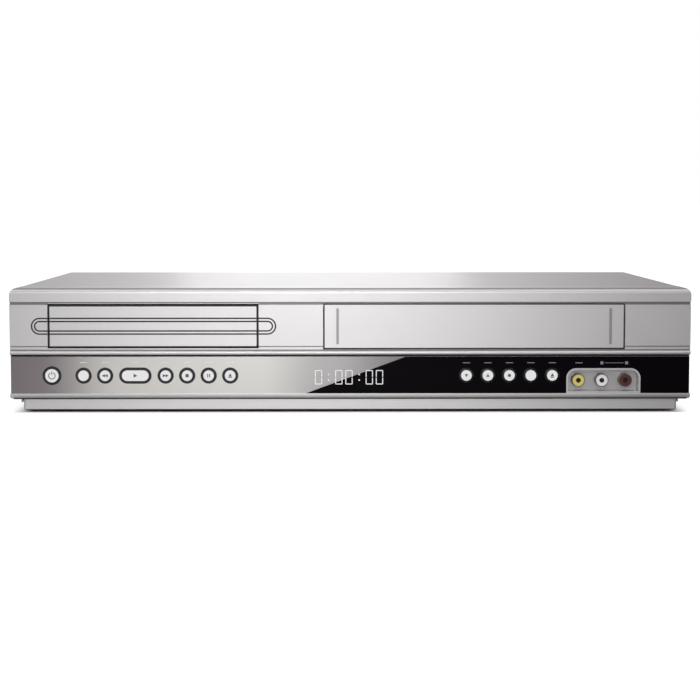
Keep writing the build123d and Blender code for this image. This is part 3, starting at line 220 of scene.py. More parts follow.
def grained(name, color, metallic, roughness, grain=2500.0, depth=0.000004, stretch=(1, 1, 1),
            vary=0.03, specular=0.5, coat=0.0):
    """Finish with fine grain: small changes of colour, roughness and height."""
    material, tree, principled = shader(name, color, metallic, roughness, specular, coat)
    vector = coordinates(tree, stretch)
    fine = noise(tree, vector, grain)
    broad = noise(tree, vector, grain / 60.0, 2.0)
    tint(tree, principled, fine, scaled(color, 1 - vary), scaled(color, 1 + vary))
    rough = between(tree, broad, max(roughness - 0.03, 0.02), roughness + 0.03)
    tree.links.new(rough, principled.inputs["Roughness"])
    bump(tree, principled, fine, depth)
    return material


def zinc_sheet():
    """Galvanised steel with its patches of crystals."""
    material, tree, principled = shader("galvanised_sheet", (0.55, 0.56, 0.58), 1.0, 0.38)
    vector = coordinates(tree)
    cells = add(tree, "ShaderNodeTexVoronoi", Scale=160.0)
    tree.links.new(vector, cells.inputs["Vector"])
    tint(tree, principled, cells.outputs["Color"], (0.48, 0.49, 0.51), (0.62, 0.63, 0.65))
    tree.links.new(between(tree, cells.outputs["Distance"], 0.28, 0.46),
                   principled.inputs["Roughness"])
    bump(tree, principled, noise(tree, vector, 900.0), 0.00001)
    return material


def circuit_board():
    """Green solder mask with darker tracks under it."""
    material, tree, principled = shader("solder_mask", (0.03, 0.16, 0.07), 0.0, 0.3)
    vector = coordinates(tree)
    tracks = add(tree, "ShaderNodeTexBrick", Scale=90.0, Mortar_Size=0.06)
    tracks.inputs["Color1"].default_value = (0.02, 0.13, 0.05, 1.0)
    tracks.inputs["Color2"].default_value = (0.03, 0.17, 0.07, 1.0)
    tracks.inputs["Mortar"].default_value = (0.06, 0.26, 0.11, 1.0)
    tree.links.new(vector, tracks.inputs["Vector"])
    tree.links.new(tracks.outputs["Color"], principled.inputs["Base Color"])
    bump(tree, principled, tracks.outputs["Fac"], 0.00002)
    return material


def turned_alloy():
    """Turned metal with fine rings."""
    material, tree, principled = shader("turned_alloy", (0.75, 0.75, 0.76), 1.0, 0.25)
    vector = coordinates(tree)
    rings = add(tree, "ShaderNodeTexNoise", Scale=40.0, Detail=2.0)
    tree.links.new(vector, rings.inputs["Vector"])
    tree.links.new(between(tree, rings.outputs["Fac"], 0.2, 0.32), principled.inputs["Roughness"])
    lines = add(tree, "ShaderNodeTexWave", Scale=700.0, Distortion=0.0)
    lines.wave_type = "RINGS"
    lines.rings_direction = "Z"
    tree.links.new(vector, lines.inputs["Vector"])
    bump(tree, principled, lines.outputs["Fac"], 0.000003)
    return material


def banded(name, bands, roughness, hollow):
    """Glossy plastic whose colour changes from place to place across, with painted shade, black, in
    its bores.
    """
    material, tree, principled = shader(name, bands[0][1], 0.0, roughness, 0.5)
    vector = coordinates(tree)
    place = axes(tree, vector)
    color = bands[0][1]
    for start, next_color in bands[1:]:
        beyond = calculate(tree, "GREATER_THAN", place["X"], start)
        color = blended(tree, beyond, color, next_color)
    color = blended(tree, calculate(tree, "GREATER_THAN", place["Y"], hollow), color, BORE_SHADE)
    speck = noise(tree, vector, 3000.0)
    share = between(tree, speck, 0.0, 0.2)
    color = blended(tree, share, color, (0.75, 0.75, 0.75), "MULTIPLY")
    tree.links.new(color, principled.inputs["Base Color"])
    bump(tree, principled, speck, 0.000002)
    return material


def recessed(name, color, roughness, depth, dark, coat=0.0):
    """Moulded plastic that is dark from a depth (y) inwards, where its hollow lies in shade."""
    material, tree, principled = shader(name, color, 0.0, roughness, 0.5, coat)
    vector = coordinates(tree)
    fine = noise(tree, vector, 2500.0)
    pale = shades(tree, fine, scaled(color, 0.97), scaled(color, 1.03))
    inside = calculate(tree, "GREATER_THAN", axes(tree, vector)["Y"], depth)
    tree.links.new(blended(tree, inside, pale, dark), principled.inputs["Base Color"])
    bump(tree, principled, fine, 0.000001)
    return material


# share of the strip's length from the left, and the colour there: silver print with painted sheen,
# darker towards both ends
STRIP_PAINTED_SHEEN = [(0.0, (0.30, 0.27, 0.28)), (0.06, (0.31, 0.28, 0.29)), (0.28, (0.72, 0.70, 0.67)),
              (0.62, (0.70, 0.69, 0.66)), (0.80, (0.46, 0.45, 0.45)), (1.0, (0.26, 0.24, 0.25))]


def print_with_painted_sheen():
    """Silver print behind the strip's clear face, with painted sheen that fades to dark grey
    towards both ends.
    """
    material, tree, principled = shader("silver_acrylic_painted_sheen", (0.7, 0.7, 0.7), 0.92, 0.30)
    vector = coordinates(tree)
    low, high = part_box("control_strip")
    share = add(tree, "ShaderNodeMapRange", From_Min=low.x, From_Max=high.x)
    tree.links.new(axes(tree, vector)["X"], share.inputs["Value"])
    ramp = tree.nodes.new("ShaderNodeValToRGB")
    ramp.color_ramp.interpolation = "EASE"
    elements = ramp.color_ramp.elements
    while len(elements) < len(STRIP_PAINTED_SHEEN):
        elements.new(0.5)
    for element, (position, color) in zip(elements, STRIP_PAINTED_SHEEN):
        element.position = position
        element.color = (*color, 1.0)
    tree.links.new(share.outputs["Result"], ramp.inputs["Fac"])
    fine = noise(tree, vector, 3000.0)
    grain = blended(tree, between(tree, fine, 0.0, 0.25), ramp.outputs["Color"],
                    (0.85, 0.85, 0.85), "MULTIPLY")
    tree.links.new(grain, principled.inputs["Base Color"])
    tree.links.new(between(tree, fine, 0.27, 0.33), principled.inputs["Roughness"])
    bump(tree, principled, fine, 0.0000015)
    return material


SILVER = (0.80, 0.785, 0.785)
# painted shade inside the sockets' bores
BORE_SHADE = (0.008, 0.008, 0.008)
YELLOW = (0.70, 0.62, 0.16)
WHITE = (0.80, 0.80, 0.78)
RED = (0.09, 0.016, 0.016)

silver = grained("silver_lacquer", SILVER, 0.92, 0.35, 3500.0, 0.000004)
# silver print with painted sheen, darker towards both ends
strip = print_with_painted_sheen()
black_gloss = grained("black_acrylic", (0.0022, 0.0015, 0.0026), 0.0, 0.12, 1500.0, 0.0000004,
                      specular=0.05)
cover_paint = grained("cover_lacquer", (0.76, 0.745, 0.75), 0.92, 0.36, 2200.0, 0.000009)
zinc = zinc_sheet()
chrome = grained("bright_plating", (0.80, 0.80, 0.81), 1.0, 0.14, 1800.0, 0.000001)
rear_black = grained("rear_black_paint", (0.012, 0.012, 0.013), 0.0, 0.5, 1600.0, 0.00002)
black_plastic = grained("black_plastic", (0.018, 0.018, 0.019), 0.0, 0.48, 1400.0, 0.00002)
grey_plastic = grained("grey_plastic", (0.17, 0.17, 0.175), 0.0, 0.42, 1400.0, 0.00001)
white_cap = recessed("white_caps", (0.88, 0.87, 0.88), 0.25, STRIP_FACE + 0.25 * MM,
                     (0.01, 0.01, 0.011), coat=0.3)
white_gear = grained("white_nylon", (0.78, 0.77, 0.72), 0.0, 0.45, 1500.0, 0.000008)
rubber = grained("foot_rubber", (0.02, 0.02, 0.02), 0.0, 0.8, 1200.0, 0.00003)
solder_mask = circuit_board()
alloy = turned_alloy()
tube_glass = grained("tube_glass", (0.02, 0.035, 0.035), 0.0, 0.06, 900.0, 0.0000005)
# painted shade: dark and grey pieces set in grooves and gaps
painted_shade_black = grained("painted_shade_black", (0.022, 0.021, 0.023), 0.0, 0.6, 2500.0, 0.000001)
painted_shade_grey = grained("painted_shade_grey", (0.42, 0.41, 0.41), 0.9, 0.4, 2500.0, 0.000001)
shadow_line = grained("shadow_line", (0.30, 0.29, 0.29), 0.9, 0.4, 2500.0, 0.000001)
alcove_grey = grained("alcove_grey", (0.66, 0.64, 0.65), 0.75, 0.36, 2500.0, 0.000002)
nickel = grained("nickel_sleeve", (0.20, 0.18, 0.17), 1.0, 0.38, 2500.0, 0.000002)
print_grey = grained("grey_print", (0.20, 0.19, 0.21), 0.0, 0.5, 2500.0, 0.000001)
# painted shade in and round the buttons' gaps
painted_ring_shade = grained("painted_ring_shade", (0.018, 0.017, 0.019), 0.0, 0.5, 2000.0, 0.000003)
print_dark = grained("dark_print", (0.09, 0.09, 0.095), 0.0, 0.5, 2500.0, 0.000001)
print_pale = grained("pale_print", (0.80, 0.79, 0.79), 0.0, 0.5, 2500.0, 0.000001)
screw_black = grained("blackened_steel", (0.05, 0.05, 0.052), 0.8, 0.4, 1800.0, 0.000006)

jack_low, jack_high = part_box("socket_cores")
third = (jack_high.x - jack_low.x) / 3
jack_bands = [(jack_low.x + k * third, color) for k, color in enumerate((YELLOW, WHITE, RED))]
jack_colors = banded("front_socket_colours", jack_bands, 0.3, jack_low.y + 0.2 * MM)

FINISH = {
    "front_fascia": silver, "tray_door": silver, "cassette_door": silver,
    "plinth_trim": silver, "jack_alcove": alcove_grey,
    "control_strip": strip, "display_window": black_gloss,
    "top_cover": cover_paint, "bottom_chassis": zinc, "rear_panel": rear_black,
    "rubber_feet": rubber, "front_board": solder_mask, "main_board": solder_mask,
    "power_board": solder_mask, "tact_switches": black_plastic, "display_tube": tube_glass,
    "power_parts": black_plastic, "tuner": chrome, "rear_jack_block": black_plastic,
    "mains_inlet": black_plastic, "socket_shells": nickel, "socket_cores": jack_colors,
    "disc_tray": grey_plastic, "loader_frame": black_plastic, "tray_gear": white_gear,
    "loading_motor": zinc, "traverse_frame": black_plastic, "spindle_motor": zinc,
    "disc_turntable": black_plastic, "pickup_rods": chrome, "optical_pickup": black_plastic,
    "clamp_bridge": zinc, "clamp_disc": black_plastic, "cassette_holder": zinc,
    "holder_rails": zinc, "deck_plate": zinc, "drum_base": alloy, "head_drum": alloy,
    "capstan": chrome, "pinch_arm": zinc, "pinch_roller": rubber, "tape_guides": chrome,
    "supply_reel": black_plastic, "takeup_reel": black_plastic,
}
for name, node in nodes.items():
    node.data.materials.clear()
    node.data.materials.append(FINISH.get(name, white_cap))


# ---- small pieces ------------------------------------------------------------------------
def make_piece(name, mesh, body, material, place=(0, 0, 0), turn=(0, 0, 0)):
    """Object from a mesh: where it stands, its material and its body."""
    data = bpy.data.meshes.new(name)
    mesh.to_mesh(data)
    mesh.free()
    piece = bpy.data.objects.new(name, data)
    bpy.context.scene.collection.objects.link(piece)
    piece.location = place
    piece.rotation_euler = Euler(turn)
    piece.data.materials.append(material)
    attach(piece, body)
    return piece


def skirt(mesh, one, two):
    """Quads between two rings of equally many points."""
    for here in range(len(one)):
        after = (here + 1) % len(one)
        mesh.faces.new((one[here], one[after], two[after], two[here]))


def printed(name, outlines, face, body, material, proud=PRINT):
    """Marks in front view: closed outlines of (x, z) in metres, standing proud of a face."""
    mesh = bmesh.new()
    for outline in outlines:
        front = [mesh.verts.new((x, face - proud, z)) for x, z in outline]
        back = [mesh.verts.new((x, face, z)) for x, z in outline]
        mesh.faces.new(front)
        skirt(mesh, back, front)
    bmesh.ops.recalc_face_normals(mesh, faces=mesh.faces)
    return make_piece(name, mesh, body, material)


def painted_shade_mark(name, outlines, face, material, body="cabinet", proud=PRINT):
    """Painted shade: dark marks in a groove of the silver mouldings."""
    return printed(name, outlines, face, body, material, proud)


def centre(node):
    low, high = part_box(node)
    return (low.x + high.x) / 2, (low.z + high.z) / 2


# ---- outlines in front view --------------------------------------------------------------
def band(low_x, high_x, low_z, high_z):
    return [(low_x, low_z), (high_x, low_z), (high_x, high_z), (low_x, high_z)]


def bar(x, z, width, height):
    return band(x - width / 2, x + width / 2, z - height / 2, z + height / 2)


def arrow(x, z, size, turn):
    """Triangle that points right, up, left or down for a turn of 0, 90, 180 or 270 degrees."""
    corners = [(-size * 0.45, -size * 0.55), (size * 0.55, 0.0), (-size * 0.45, size * 0.55)]
    c, s = math.cos(math.radians(turn)), math.sin(math.radians(turn))
    return [(x + u * c - v * s, z + u * s + v * c) for u, v in corners]


def arc_strip(x, z, radius, width, start, end, steps=24):
    """Outlines of short pieces along an arc."""
    strips = []
    for step in range(steps):
        a = math.radians(start + (end - start) * step / steps)
        b = math.radians(start + (end - start) * (step + 1) / steps)
        strips.append([(x + r * math.cos(t), z + r * math.sin(t))
                       for r, t in ((radius, a), (radius, b), (radius - width, b),
                                    (radius - width, a))])
    return strips


def disc_outline(x, z, radius, sides=32):
    return [(x + radius * math.cos(2 * math.pi * k / sides),
             z + radius * math.sin(2 * math.pi * k / sides)) for k in range(sides)]


def race_track(x, z, length, height, steps=16):
    """Points round a bar with round ends."""
    radius = height / 2
    reach = length / 2 - radius
    points = []
    for side, first in ((1, -90), (-1, 90)):
        for step in range(steps + 1):
            angle = math.radians(first + 180 * step / steps)
            points.append((x + side * reach + radius * math.cos(angle),
                           z + radius * math.sin(angle)))
    return points


def upright_pill(x, z, length, width):
    return [(x + v, z + u) for u, v in race_track(0.0, 0.0, length, width, 10)]


def loop_strip(points, width):
    """Quads of a closed line of a given width, drawn inwards from its outer points."""
    count = len(points)
    middle = (sum(p[0] for p in points) / count, sum(p[1] for p in points) / count)
    inner = []
    for k in range(count):
        before, here, after = points[k - 1], points[k], points[(k + 1) % count]
        tangent = Vector((after[0] - before[0], after[1] - before[1])).normalized()
        inward = Vector((-tangent.y, tangent.x))
        if inward.dot(Vector((middle[0] - here[0], middle[1] - here[1]))) < 0:
            inward = -inward
        inner.append((here[0] + inward.x * width, here[1] + inward.y * width))
    return [[points[k], points[(k + 1) % count], inner[(k + 1) % count], inner[k]]
            for k in range(count)]


def clipped(quads, left, right):
    """The parts of each quad between two places across, whole quads cut at the limits."""
    kept = []
    for quad in quads:
        xs = [p[0] for p in quad]
        if max(xs) <= left or min(xs) >= right:
            continue
        kept.append([(min(max(px, left), right), pz) for px, pz in quad])
    return kept


# ---- screws and collars ------------------------------------------------------------------
SCREW_RADIUS = 2.4 * MM
SCREW_SIDES = 24
# rings of the head: share of the radius, and height in half radii; the last is its well
SCREW_RINGS = ((1.0, 0.0), (0.95, 0.35), (0.7, 0.6), (0.35, 0.72), (0.12, 0.2))
SCREW_TURNS = {"-X": (0, -math.pi / 2, 0), "+X": (0, math.pi / 2, 0), "+Y": (-math.pi / 2, 0, 0)}
SIDE_SCREW_HEIGHT = 15.0 * MM
REAR_SCREW_HEIGHT = 73.6 * MM


def screw(name, place, axis):
    """Domed screw head with a small round well, its axis out of the face."""
    mesh = bmesh.new()
    rings = []
    for share, rise in SCREW_RINGS:
        rings.append([mesh.verts.new((u, v, rise * SCREW_RADIUS / 2))
                      for u, v in disc_outline(0.0, 0.0, SCREW_RADIUS * share, SCREW_SIDES)])
    for lower, upper in zip(rings, rings[1:]):
        skirt(mesh, lower, upper)
    mesh.faces.new(rings[-1])
    make_piece(name, mesh, "cabinet", screw_black, place, SCREW_TURNS[axis])


def case_screws():
    """Screws that hold the cover at its sides and its rear lip."""
    cover_low, cover_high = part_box("top_cover")
    for side, axis, x in (("left", "-X", cover_low.x), ("right", "+X", cover_high.x)):
        for place, y in (("front", -77.3 * MM), ("rear", 107.5 * MM)):
            screw("cover_screw_%s_%s" % (side, place), (x, y, SIDE_SCREW_HEIGHT), axis)
    for place, x in (("left", -150 * MM), ("middle", 0.0), ("right", 150 * MM)):
        screw("rear_screw_" + place, (x, cover_high.y, REAR_SCREW_HEIGHT), "+Y")


COLLAR_OUTER = 5.3 * MM
COLLAR_INNER = 3.6 * MM
COLLAR_THICKNESS = 0.8 * MM
SOCKET_REACH = 7.0 * MM                # from the rear wall to the sockets' ends
SOCKET_PITCH = 16.0 * MM
UPPER_ROW, LOWER_ROW = 46.6 * MM, 27.6 * MM
LEFT_SOCKETS, RIGHT_SOCKETS = -74.5 * MM, -18.5 * MM


def collar(name, x, z, face, material):
    """Flat ring on the rear wall, facing back, its outer edge bevelled."""
    back = face + COLLAR_THICKNESS
    bevel = 0.3 * COLLAR_THICKNESS
    mesh = bmesh.new()
    loops = []
    for radius, y in ((COLLAR_INNER, face), (COLLAR_OUTER, face), (COLLAR_OUTER, back - bevel),
                      (COLLAR_OUTER - bevel, back), (COLLAR_INNER, back)):
        loops.append([mesh.verts.new((u, y, v)) for u, v in disc_outline(x, z, radius)])
    for one, two in zip(loops, loops[1:] + loops[:1]):
        skirt(mesh, one, two)
    bmesh.ops.recalc_face_normals(mesh, faces=mesh.faces)
    make_piece(name, mesh, "cabinet", material)


def rear_rings():
    """Coloured collars at the foot of each rear socket."""
    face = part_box("rear_jack_block")[1].y - SOCKET_REACH
    green, blue, orange = (0.03, 0.25, 0.06), (0.03, 0.08, 0.42), (0.60, 0.18, 0.02)
    red, white = (0.42, 0.02, 0.03), (0.75, 0.75, 0.73)
    rows = [(LEFT_SOCKETS, UPPER_ROW, (YELLOW, white, red)),
            (LEFT_SOCKETS, LOWER_ROW, (YELLOW, white, red)),
            (RIGHT_SOCKETS, UPPER_ROW, (green, blue, red)),
            (RIGHT_SOCKETS, LOWER_ROW, (orange,))]
    for row, (first, z, colors) in enumerate(rows, 1):
        for place, color in enumerate(colors):
            name = "rear_collar_%d_%d" % (row, place + 1)
            material = grained(name, color, 0.0, 0.35, 2500.0, 0.000002)
            collar(name, first + SOCKET_PITCH * place, z, face, material)


# ---- painted shade in the fascia's grooves -----------------------------------------------
TRACK_SIZES = ((154.6 * MM, 10.8 * MM), (150.7 * MM, 6.9 * MM))
# width of the painted shade in each track groove
TRACK_SHADE = 0.9 * MM
TRACK_SHIFT = 0.3 * MM                 # from the tray door's middle to the track's
TRACK_LIFT = 12.5 * MM                 # from the field's lower edge to the track's middle
TRACK_REACH = 20 * MM                  # more than the track goes past the door
PILL_LENGTH = 22.9 * MM                # upright groove at each end of the flap
PILL_WIDTH = 1.6 * MM
PILL_INSET = 8.9 * MM
PILL_DEPTH = 0.3 * MM
COVE_LINE = 0.55 * MM
COVE_GROOVE = 0.72 * MM
LIP_MARGIN = 2.2 * MM
LIP_SHADE = 0.95 * MM


def door_gap_shade(left, right, bottom, top, foot):
    """Dark edge inside a door's outline, painted shade of its gap; foot is its height along the
    bottom.
    """
    return [band(left, left + DOOR_SHADE, bottom, top), band(right - DOOR_SHADE, right, bottom, top),
            band(left, right, bottom, bottom + foot), band(left, right, top - DOOR_SHADE, top)]


def groove_painted_shade_marks():
    """Painted shade: dark bottoms of the grooves in the fascia, the tray's door and the cassette
    flap.
    """
    low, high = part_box("tray_door")
    tray_left, tray_right = low.x - TRAY_GAP, high.x + TRAY_GAP
    middle = (low.x + high.x) / 2 + TRACK_SHIFT
    track = []
    for length, height in TRACK_SIZES:
        points = race_track(middle, PANEL_BOTTOM + TRACK_LIFT, length, height)
        track += loop_strip(points, TRACK_SHADE)
    # painted shade in the track's grooves, on the tray's door and beside it
    painted_shade_mark("tray_groove_shade", clipped(track, low.x, high.x), PANEL_FACE, painted_shade_black, "tray")
    sides = clipped(track, low.x - TRACK_REACH, tray_left)
    sides += clipped(track, tray_right, high.x + TRACK_REACH)
    painted_shade_mark("fascia_groove_shade", sides, PANEL_FACE, painted_shade_black)
    # painted shade in the tray door's gap
    edges = door_gap_shade(low.x, high.x, low.z, high.z, 1.1 * DOOR_SHADE)
    painted_shade_mark("tray_gap_shade", edges, PANEL_FACE, painted_shade_black, "tray")

    low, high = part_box("cassette_door")
    flap_left, flap_right = low.x + HINGE_PIN, high.x - HINGE_PIN
    pills = [upright_pill(x, (low.z + high.z) / 2, PILL_LENGTH, PILL_WIDTH)
             for x in (flap_left + PILL_INSET, flap_right - PILL_INSET)]
    # painted shade in the flap's upright grooves
    painted_shade_mark("flap_groove_shade", pills, PANEL_FACE + PILL_DEPTH, painted_shade_grey, "cassette_door",
           PILL_DEPTH + 0.02 * MM)
    # painted shade in the flap's gap
    edges = door_gap_shade(flap_left, flap_right, low.z, high.z, DOOR_SHADE)
    painted_shade_mark("flap_gap_shade", edges, PANEL_FACE, painted_shade_black, "cassette_door")

    left, right = cad_low.x + END_MARGIN, cad_high.x - END_MARGIN
    spans = ((left, tray_left), (tray_right, flap_left), (flap_right, right))
    shade = [band(left, right, DOOR_TOP, BEZEL_BOTTOM)]
    shade += [band(start, end, PANEL_TOP, DOOR_TOP) for start, end in spans]
    painted_shade_mark("bezel_shade", shade, BEZEL_GROOVE, shadow_line)
    bosses = [band(flap_left - HINGE_BOSS, flap_left, PANEL_TOP, BEZEL_BOTTOM),
              band(flap_right, flap_right + HINGE_BOSS, PANEL_TOP, BEZEL_BOTTOM)]
    painted_shade_mark("boss_shade", bosses, BOSS_FACE, shadow_line)
    fine = [band(left, right, BEAD_TOP, BEAD_TOP + COVE_LINE)]
    fine += [band(start, end, PANEL_BOTTOM - COVE_GROOVE, PANEL_BOTTOM) for start, end in spans]
    painted_shade_mark("cove_shades", fine, COVE_BOTTOM, shadow_line)
    painted_shade_mark("strip_shade", [band(left, right, STRIP_TOP, BEAD_BOTTOM)], STRIP_BACK, painted_shade_black)
    lip = band(cad_low.x + LIP_MARGIN, cad_high.x - LIP_MARGIN, LIP_BOTTOM, LIP_BOTTOM + LIP_SHADE)
    painted_shade_mark("lip_shade", [lip], LIP_FACE, painted_shade_black)


def plinth_channel():
    """Low channel under the fascia: a U in plan, a little lower and wider than its solid."""
    low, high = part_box("plinth_trim")
    end, inner_end, inner_face = PLINTH_HALF, PLINTH_HALF - PLINTH_WALL, low.y + PLINTH_WALL
    outline = [(-end, high.y)]
    for side, start in ((-1, 180), (1, 270)):
        for step in range(CORNER_STEPS + 1):
            angle = math.radians(start + 90 * step / CORNER_STEPS)
            outline.append((side * (end - PLINTH_CORNER) + PLINTH_CORNER * math.cos(angle),
                            low.y + PLINTH_CORNER + PLINTH_CORNER * math.sin(angle)))
    outline += [(end, high.y), (inner_end, high.y), (inner_end, inner_face),
                (-inner_end, inner_face), (-inner_end, high.y)]
    mesh = bmesh.new()
    lower = [mesh.verts.new((x, y, PLINTH_BOTTOM)) for x, y in outline]
    upper = [mesh.verts.new((x, y, high.z)) for x, y in outline]
    mesh.faces.new(lower)
    mesh.faces.new(upper)
    skirt(mesh, lower, upper)
    bmesh.ops.triangulate(mesh, faces=mesh.faces, ngon_method="EAR_CLIP")
    bmesh.ops.recalc_face_normals(mesh, faces=mesh.faces)
    piece = make_piece("plinth_channel", mesh, "cabinet", silver)
    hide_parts("plinth_trim")
    shade = band(-end + PLINTH_CORNER, end - PLINTH_CORNER, PLINTH_BOTTOM,
                 PLINTH_BOTTOM + PLINTH_SHADE)
    painted_shade_mark("plinth_shade", [shade], low.y, painted_shade_black)


def tray_shade_sheet():
    """Black sheet round the tray, just behind its door: painted shade in the door's gap."""
    low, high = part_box("tray_door")
    left, right = low.x - SHEET_REACH, high.x + SHEET_REACH
    quads = [band(left, left + SHEET_SIDE, SHEET_BOTTOM, SHEET_TOP),
             band(right - SHEET_SIDE, right, SHEET_BOTTOM, SHEET_TOP),
             band(left, right, SHEET_BOTTOM, SHEET_LOWER_EDGE),
             band(left, right, SHEET_UPPER_EDGE, SHEET_TOP)]
    # black sheet, painted shade seen through the door's gap
    printed("tray_shade_sheet", quads, high.y + 0.5 * MM, "cabinet", rubber, 0.3 * MM)


# ---- buttons and display -----------------------------------------------------------------
SILVER_BUTTONS = ("power_button", "select_button", "rewind_button", "play_button",
                  "forward_button", "stop_button", "pause_button", "tray_button")
DARK_BUTTONS = ("channel_down_button", "channel_up_button", "record_button", "source_button",
                "eject_button")
# widths of the painted shade round the buttons' caps
CAP_SHADE = 0.28 * MM
RING_SHADE = 0.95 * MM
RIM_REACH = 0.4 * MM                   # from the ring's outer edge to the rim's
RIM_SHADE = 0.5 * MM
ARROW = 1.9 * MM
ARROW_STEP = 0.9 * MM                  # from a double arrow's middle to each arrow
DASH_LENGTH, DASH_LINE = 4.6 * MM, 0.5 * MM
FIGURE_WIDTH, FIGURE_LINE = 4.6 * MM, 0.55 * MM
COLON_DOT, COLON_STEP = 0.9 * MM, 1.8 * MM
COUNTER = "0:00:00"
SEGMENTS = {"0": "abcdef"}


def button_ring_shades():
    """Painted shade: dark rings in and round the open ring of the silver side's caps, and each
    cap's own dark edge.
    """
    rings, rim_shades = [], []
    for name in SILVER_BUTTONS + DARK_BUTTONS:
        low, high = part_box(name)
        x, z = centre(name)
        width = high.x - low.x - 2 * BUTTON_FLANGE
        height = high.z - low.z - 2 * BUTTON_FLANGE

        def ring(reach, line):
            """Line round the cap, its outer edge a reach away from the cap's."""
            points = race_track(x, z, width + 2 * reach, height + 2 * reach, 20)
            return loop_strip(points, line)

        # painted shade: a dark edge round each cap
        printed(name + "_edge_shade", ring(0.0, CAP_SHADE), low.y, name, painted_ring_shade)
        if name in SILVER_BUTTONS:
            rings += ring(BUTTON_RING, RING_SHADE)
            rim_shades += ring(BUTTON_RING + RIM_REACH, RIM_SHADE)
    printed("button_ring_shades", rings, STRIP_FACE + 0.3 * MM, "cabinet", painted_ring_shade,
            0.2 * MM)
    printed("button_rim_shades", rim_shades, STRIP_FACE, "cabinet", painted_ring_shade)


def power_mark(x, z):
    line = 0.5 * MM
    return arc_strip(x, z, 2.3 * MM, line, 115, 425) + [bar(x, z + 1.6 * MM, line, 2.2 * MM)]


def pause_mark(x, z):
    return [bar(x + side * 0.6 * MM, z, 0.6 * MM, 2.2 * MM) for side in (-1, 1)]


def double_arrow(x, z, turn):
    return [arrow(x + side * ARROW_STEP, z, ARROW, turn) for side in (-1, 1)]


def eject_mark(x, z):
    return [arrow(x, z + 0.3 * MM, ARROW * 1.1, 90), bar(x, z - 1.2 * MM, 2.3 * MM, 0.45 * MM)]


def button_symbols():
    """Usual symbols of such controls, printed dark on the caps."""
    symbols = {
        "power_button": power_mark,
        "rewind_button": lambda x, z: double_arrow(x, z, 180),
        "play_button": lambda x, z: [arrow(x, z, ARROW * 1.2, 0)],
        "forward_button": lambda x, z: double_arrow(x, z, 0),
        "stop_button": lambda x, z: [bar(x, z, 2.0 * MM, 2.0 * MM)],
        "pause_button": pause_mark,
        "tray_button": eject_mark,
        "channel_down_button": lambda x, z: [arrow(x, z, ARROW, 270)],
        "channel_up_button": lambda x, z: [arrow(x, z, ARROW, 90)],
        "record_button": lambda x, z: [disc_outline(x, z, 1.0 * MM)],
        "eject_button": eject_mark,
    }
    for name, mark in symbols.items():
        outlines = mark(*centre(name))
        printed(name + "_symbol", outlines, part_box(name)[0].y, name, print_dark)


def dashes(name, buttons, lift, material, others=()):
    """Short plain dashes where the controls' captions stand, and other marks with them."""
    marks = []
    for button in buttons:
        x, z = centre(button)
        marks.append(bar(x, z + lift, DASH_LENGTH, DASH_LINE))
    printed(name, marks + list(others), STRIP_FACE, "cabinet", material)


def button_labels():
    """Dashes over the buttons; over the sockets a dash, a fine line and two squares."""
    x = (jack_low.x + jack_high.x) / 2
    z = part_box("jack_alcove")[1].z + 3.4 * MM
    others = [bar(x - 14.9 * MM, z, DASH_LENGTH, DASH_LINE),
              bar(x + 7.4 * MM, z, 12.0 * MM, 0.3 * MM)]
    others += [bar(x + side, z, 1.9 * MM, 1.9 * MM) for side in (-0.4 * MM, 15.2 * MM)]
    dashes("silver_dashes", SILVER_BUTTONS[1:], 8.3 * MM, print_pale)
    dashes("window_dashes", DARK_BUTTONS, 8.0 * MM, print_grey, others)


def digit(x, z, width, height, line, shown):
    """Bars of one seven-segment digit."""
    half = height / 2
    places = {
        "a": bar(x, z + half - line / 2, width - line, line),
        "g": bar(x, z, width - line, line),
        "d": bar(x, z - half + line / 2, width - line, line),
        "f": bar(x - width / 2 + line / 2, z + half / 2, line, half - line),
        "b": bar(x + width / 2 - line / 2, z + half / 2, line, half - line),
        "e": bar(x - width / 2 + line / 2, z - half / 2, line, half - line),
        "c": bar(x + width / 2 - line / 2, z - half / 2, line, half - line),
    }
    return [places[name] for name in shown]


def display_figures():
    """A tape counter at nought, as the display shows through the window."""
    left, right, bottom, top = -23.5 * MM, 21.5 * MM, 17.9 * MM, 27.0 * MM
    z = (bottom + top) / 2
    pitch = (right - left) / len(COUNTER)
    outlines = []
    for k, mark in enumerate(COUNTER):
        x = left + (k + 0.5) * pitch
        if mark == ":":
            outlines += [bar(x, z + side * COLON_STEP, COLON_DOT, COLON_DOT) for side in (1, -1)]
        else:
            outlines += digit(x, z, FIGURE_WIDTH, top - bottom, FIGURE_LINE, SEGMENTS[mark])
    material, tree, principled = shader("display_figures", (0.75, 0.74, 0.76), 0.0, 0.4)
    vector = coordinates(tree)
    tint(tree, principled, noise(tree, vector, 2500.0), (0.70, 0.69, 0.71), (0.80, 0.79, 0.81))
    principled.inputs["Emission Color"].default_value = (0.85, 0.84, 0.88, 1.0)
    principled.inputs["Emission Strength"].default_value = 0.2
    printed("display_digits", outlines, STRIP_FACE, "cabinet", material)


case_screws()
rear_rings()
groove_painted_shade_marks()
plinth_channel()
tray_shade_sheet()
button_ring_shades()
button_symbols()
button_labels()
display_figures()

# ---- stage, light and camera ---------------------------------------------------------------
scene = bpy.context.scene
scene.view_settings.view_transform = "Standard"


def ray_kinds(tree):
    """1 for rays that see the backdrop straight or through glass, and 1 for rays off gloss."""
    path = tree.nodes.new("ShaderNodeLightPath").outputs
    seen = calculate(tree, "MAXIMUM", path["Is Camera Ray"], path["Is Transmission Ray"])
    return seen, path["Is Glossy Ray"]


def fade(tree, value, near, far, high, low):
    """From high at near to low at far, smoothly."""
    node = add(tree, "ShaderNodeMapRange", From_Min=near, From_Max=far, To_Min=high, To_Max=low)
    node.interpolation_type = "SMOOTHSTEP"
    tree.links.new(value, node.inputs["Value"])
    return node.outputs["Result"]


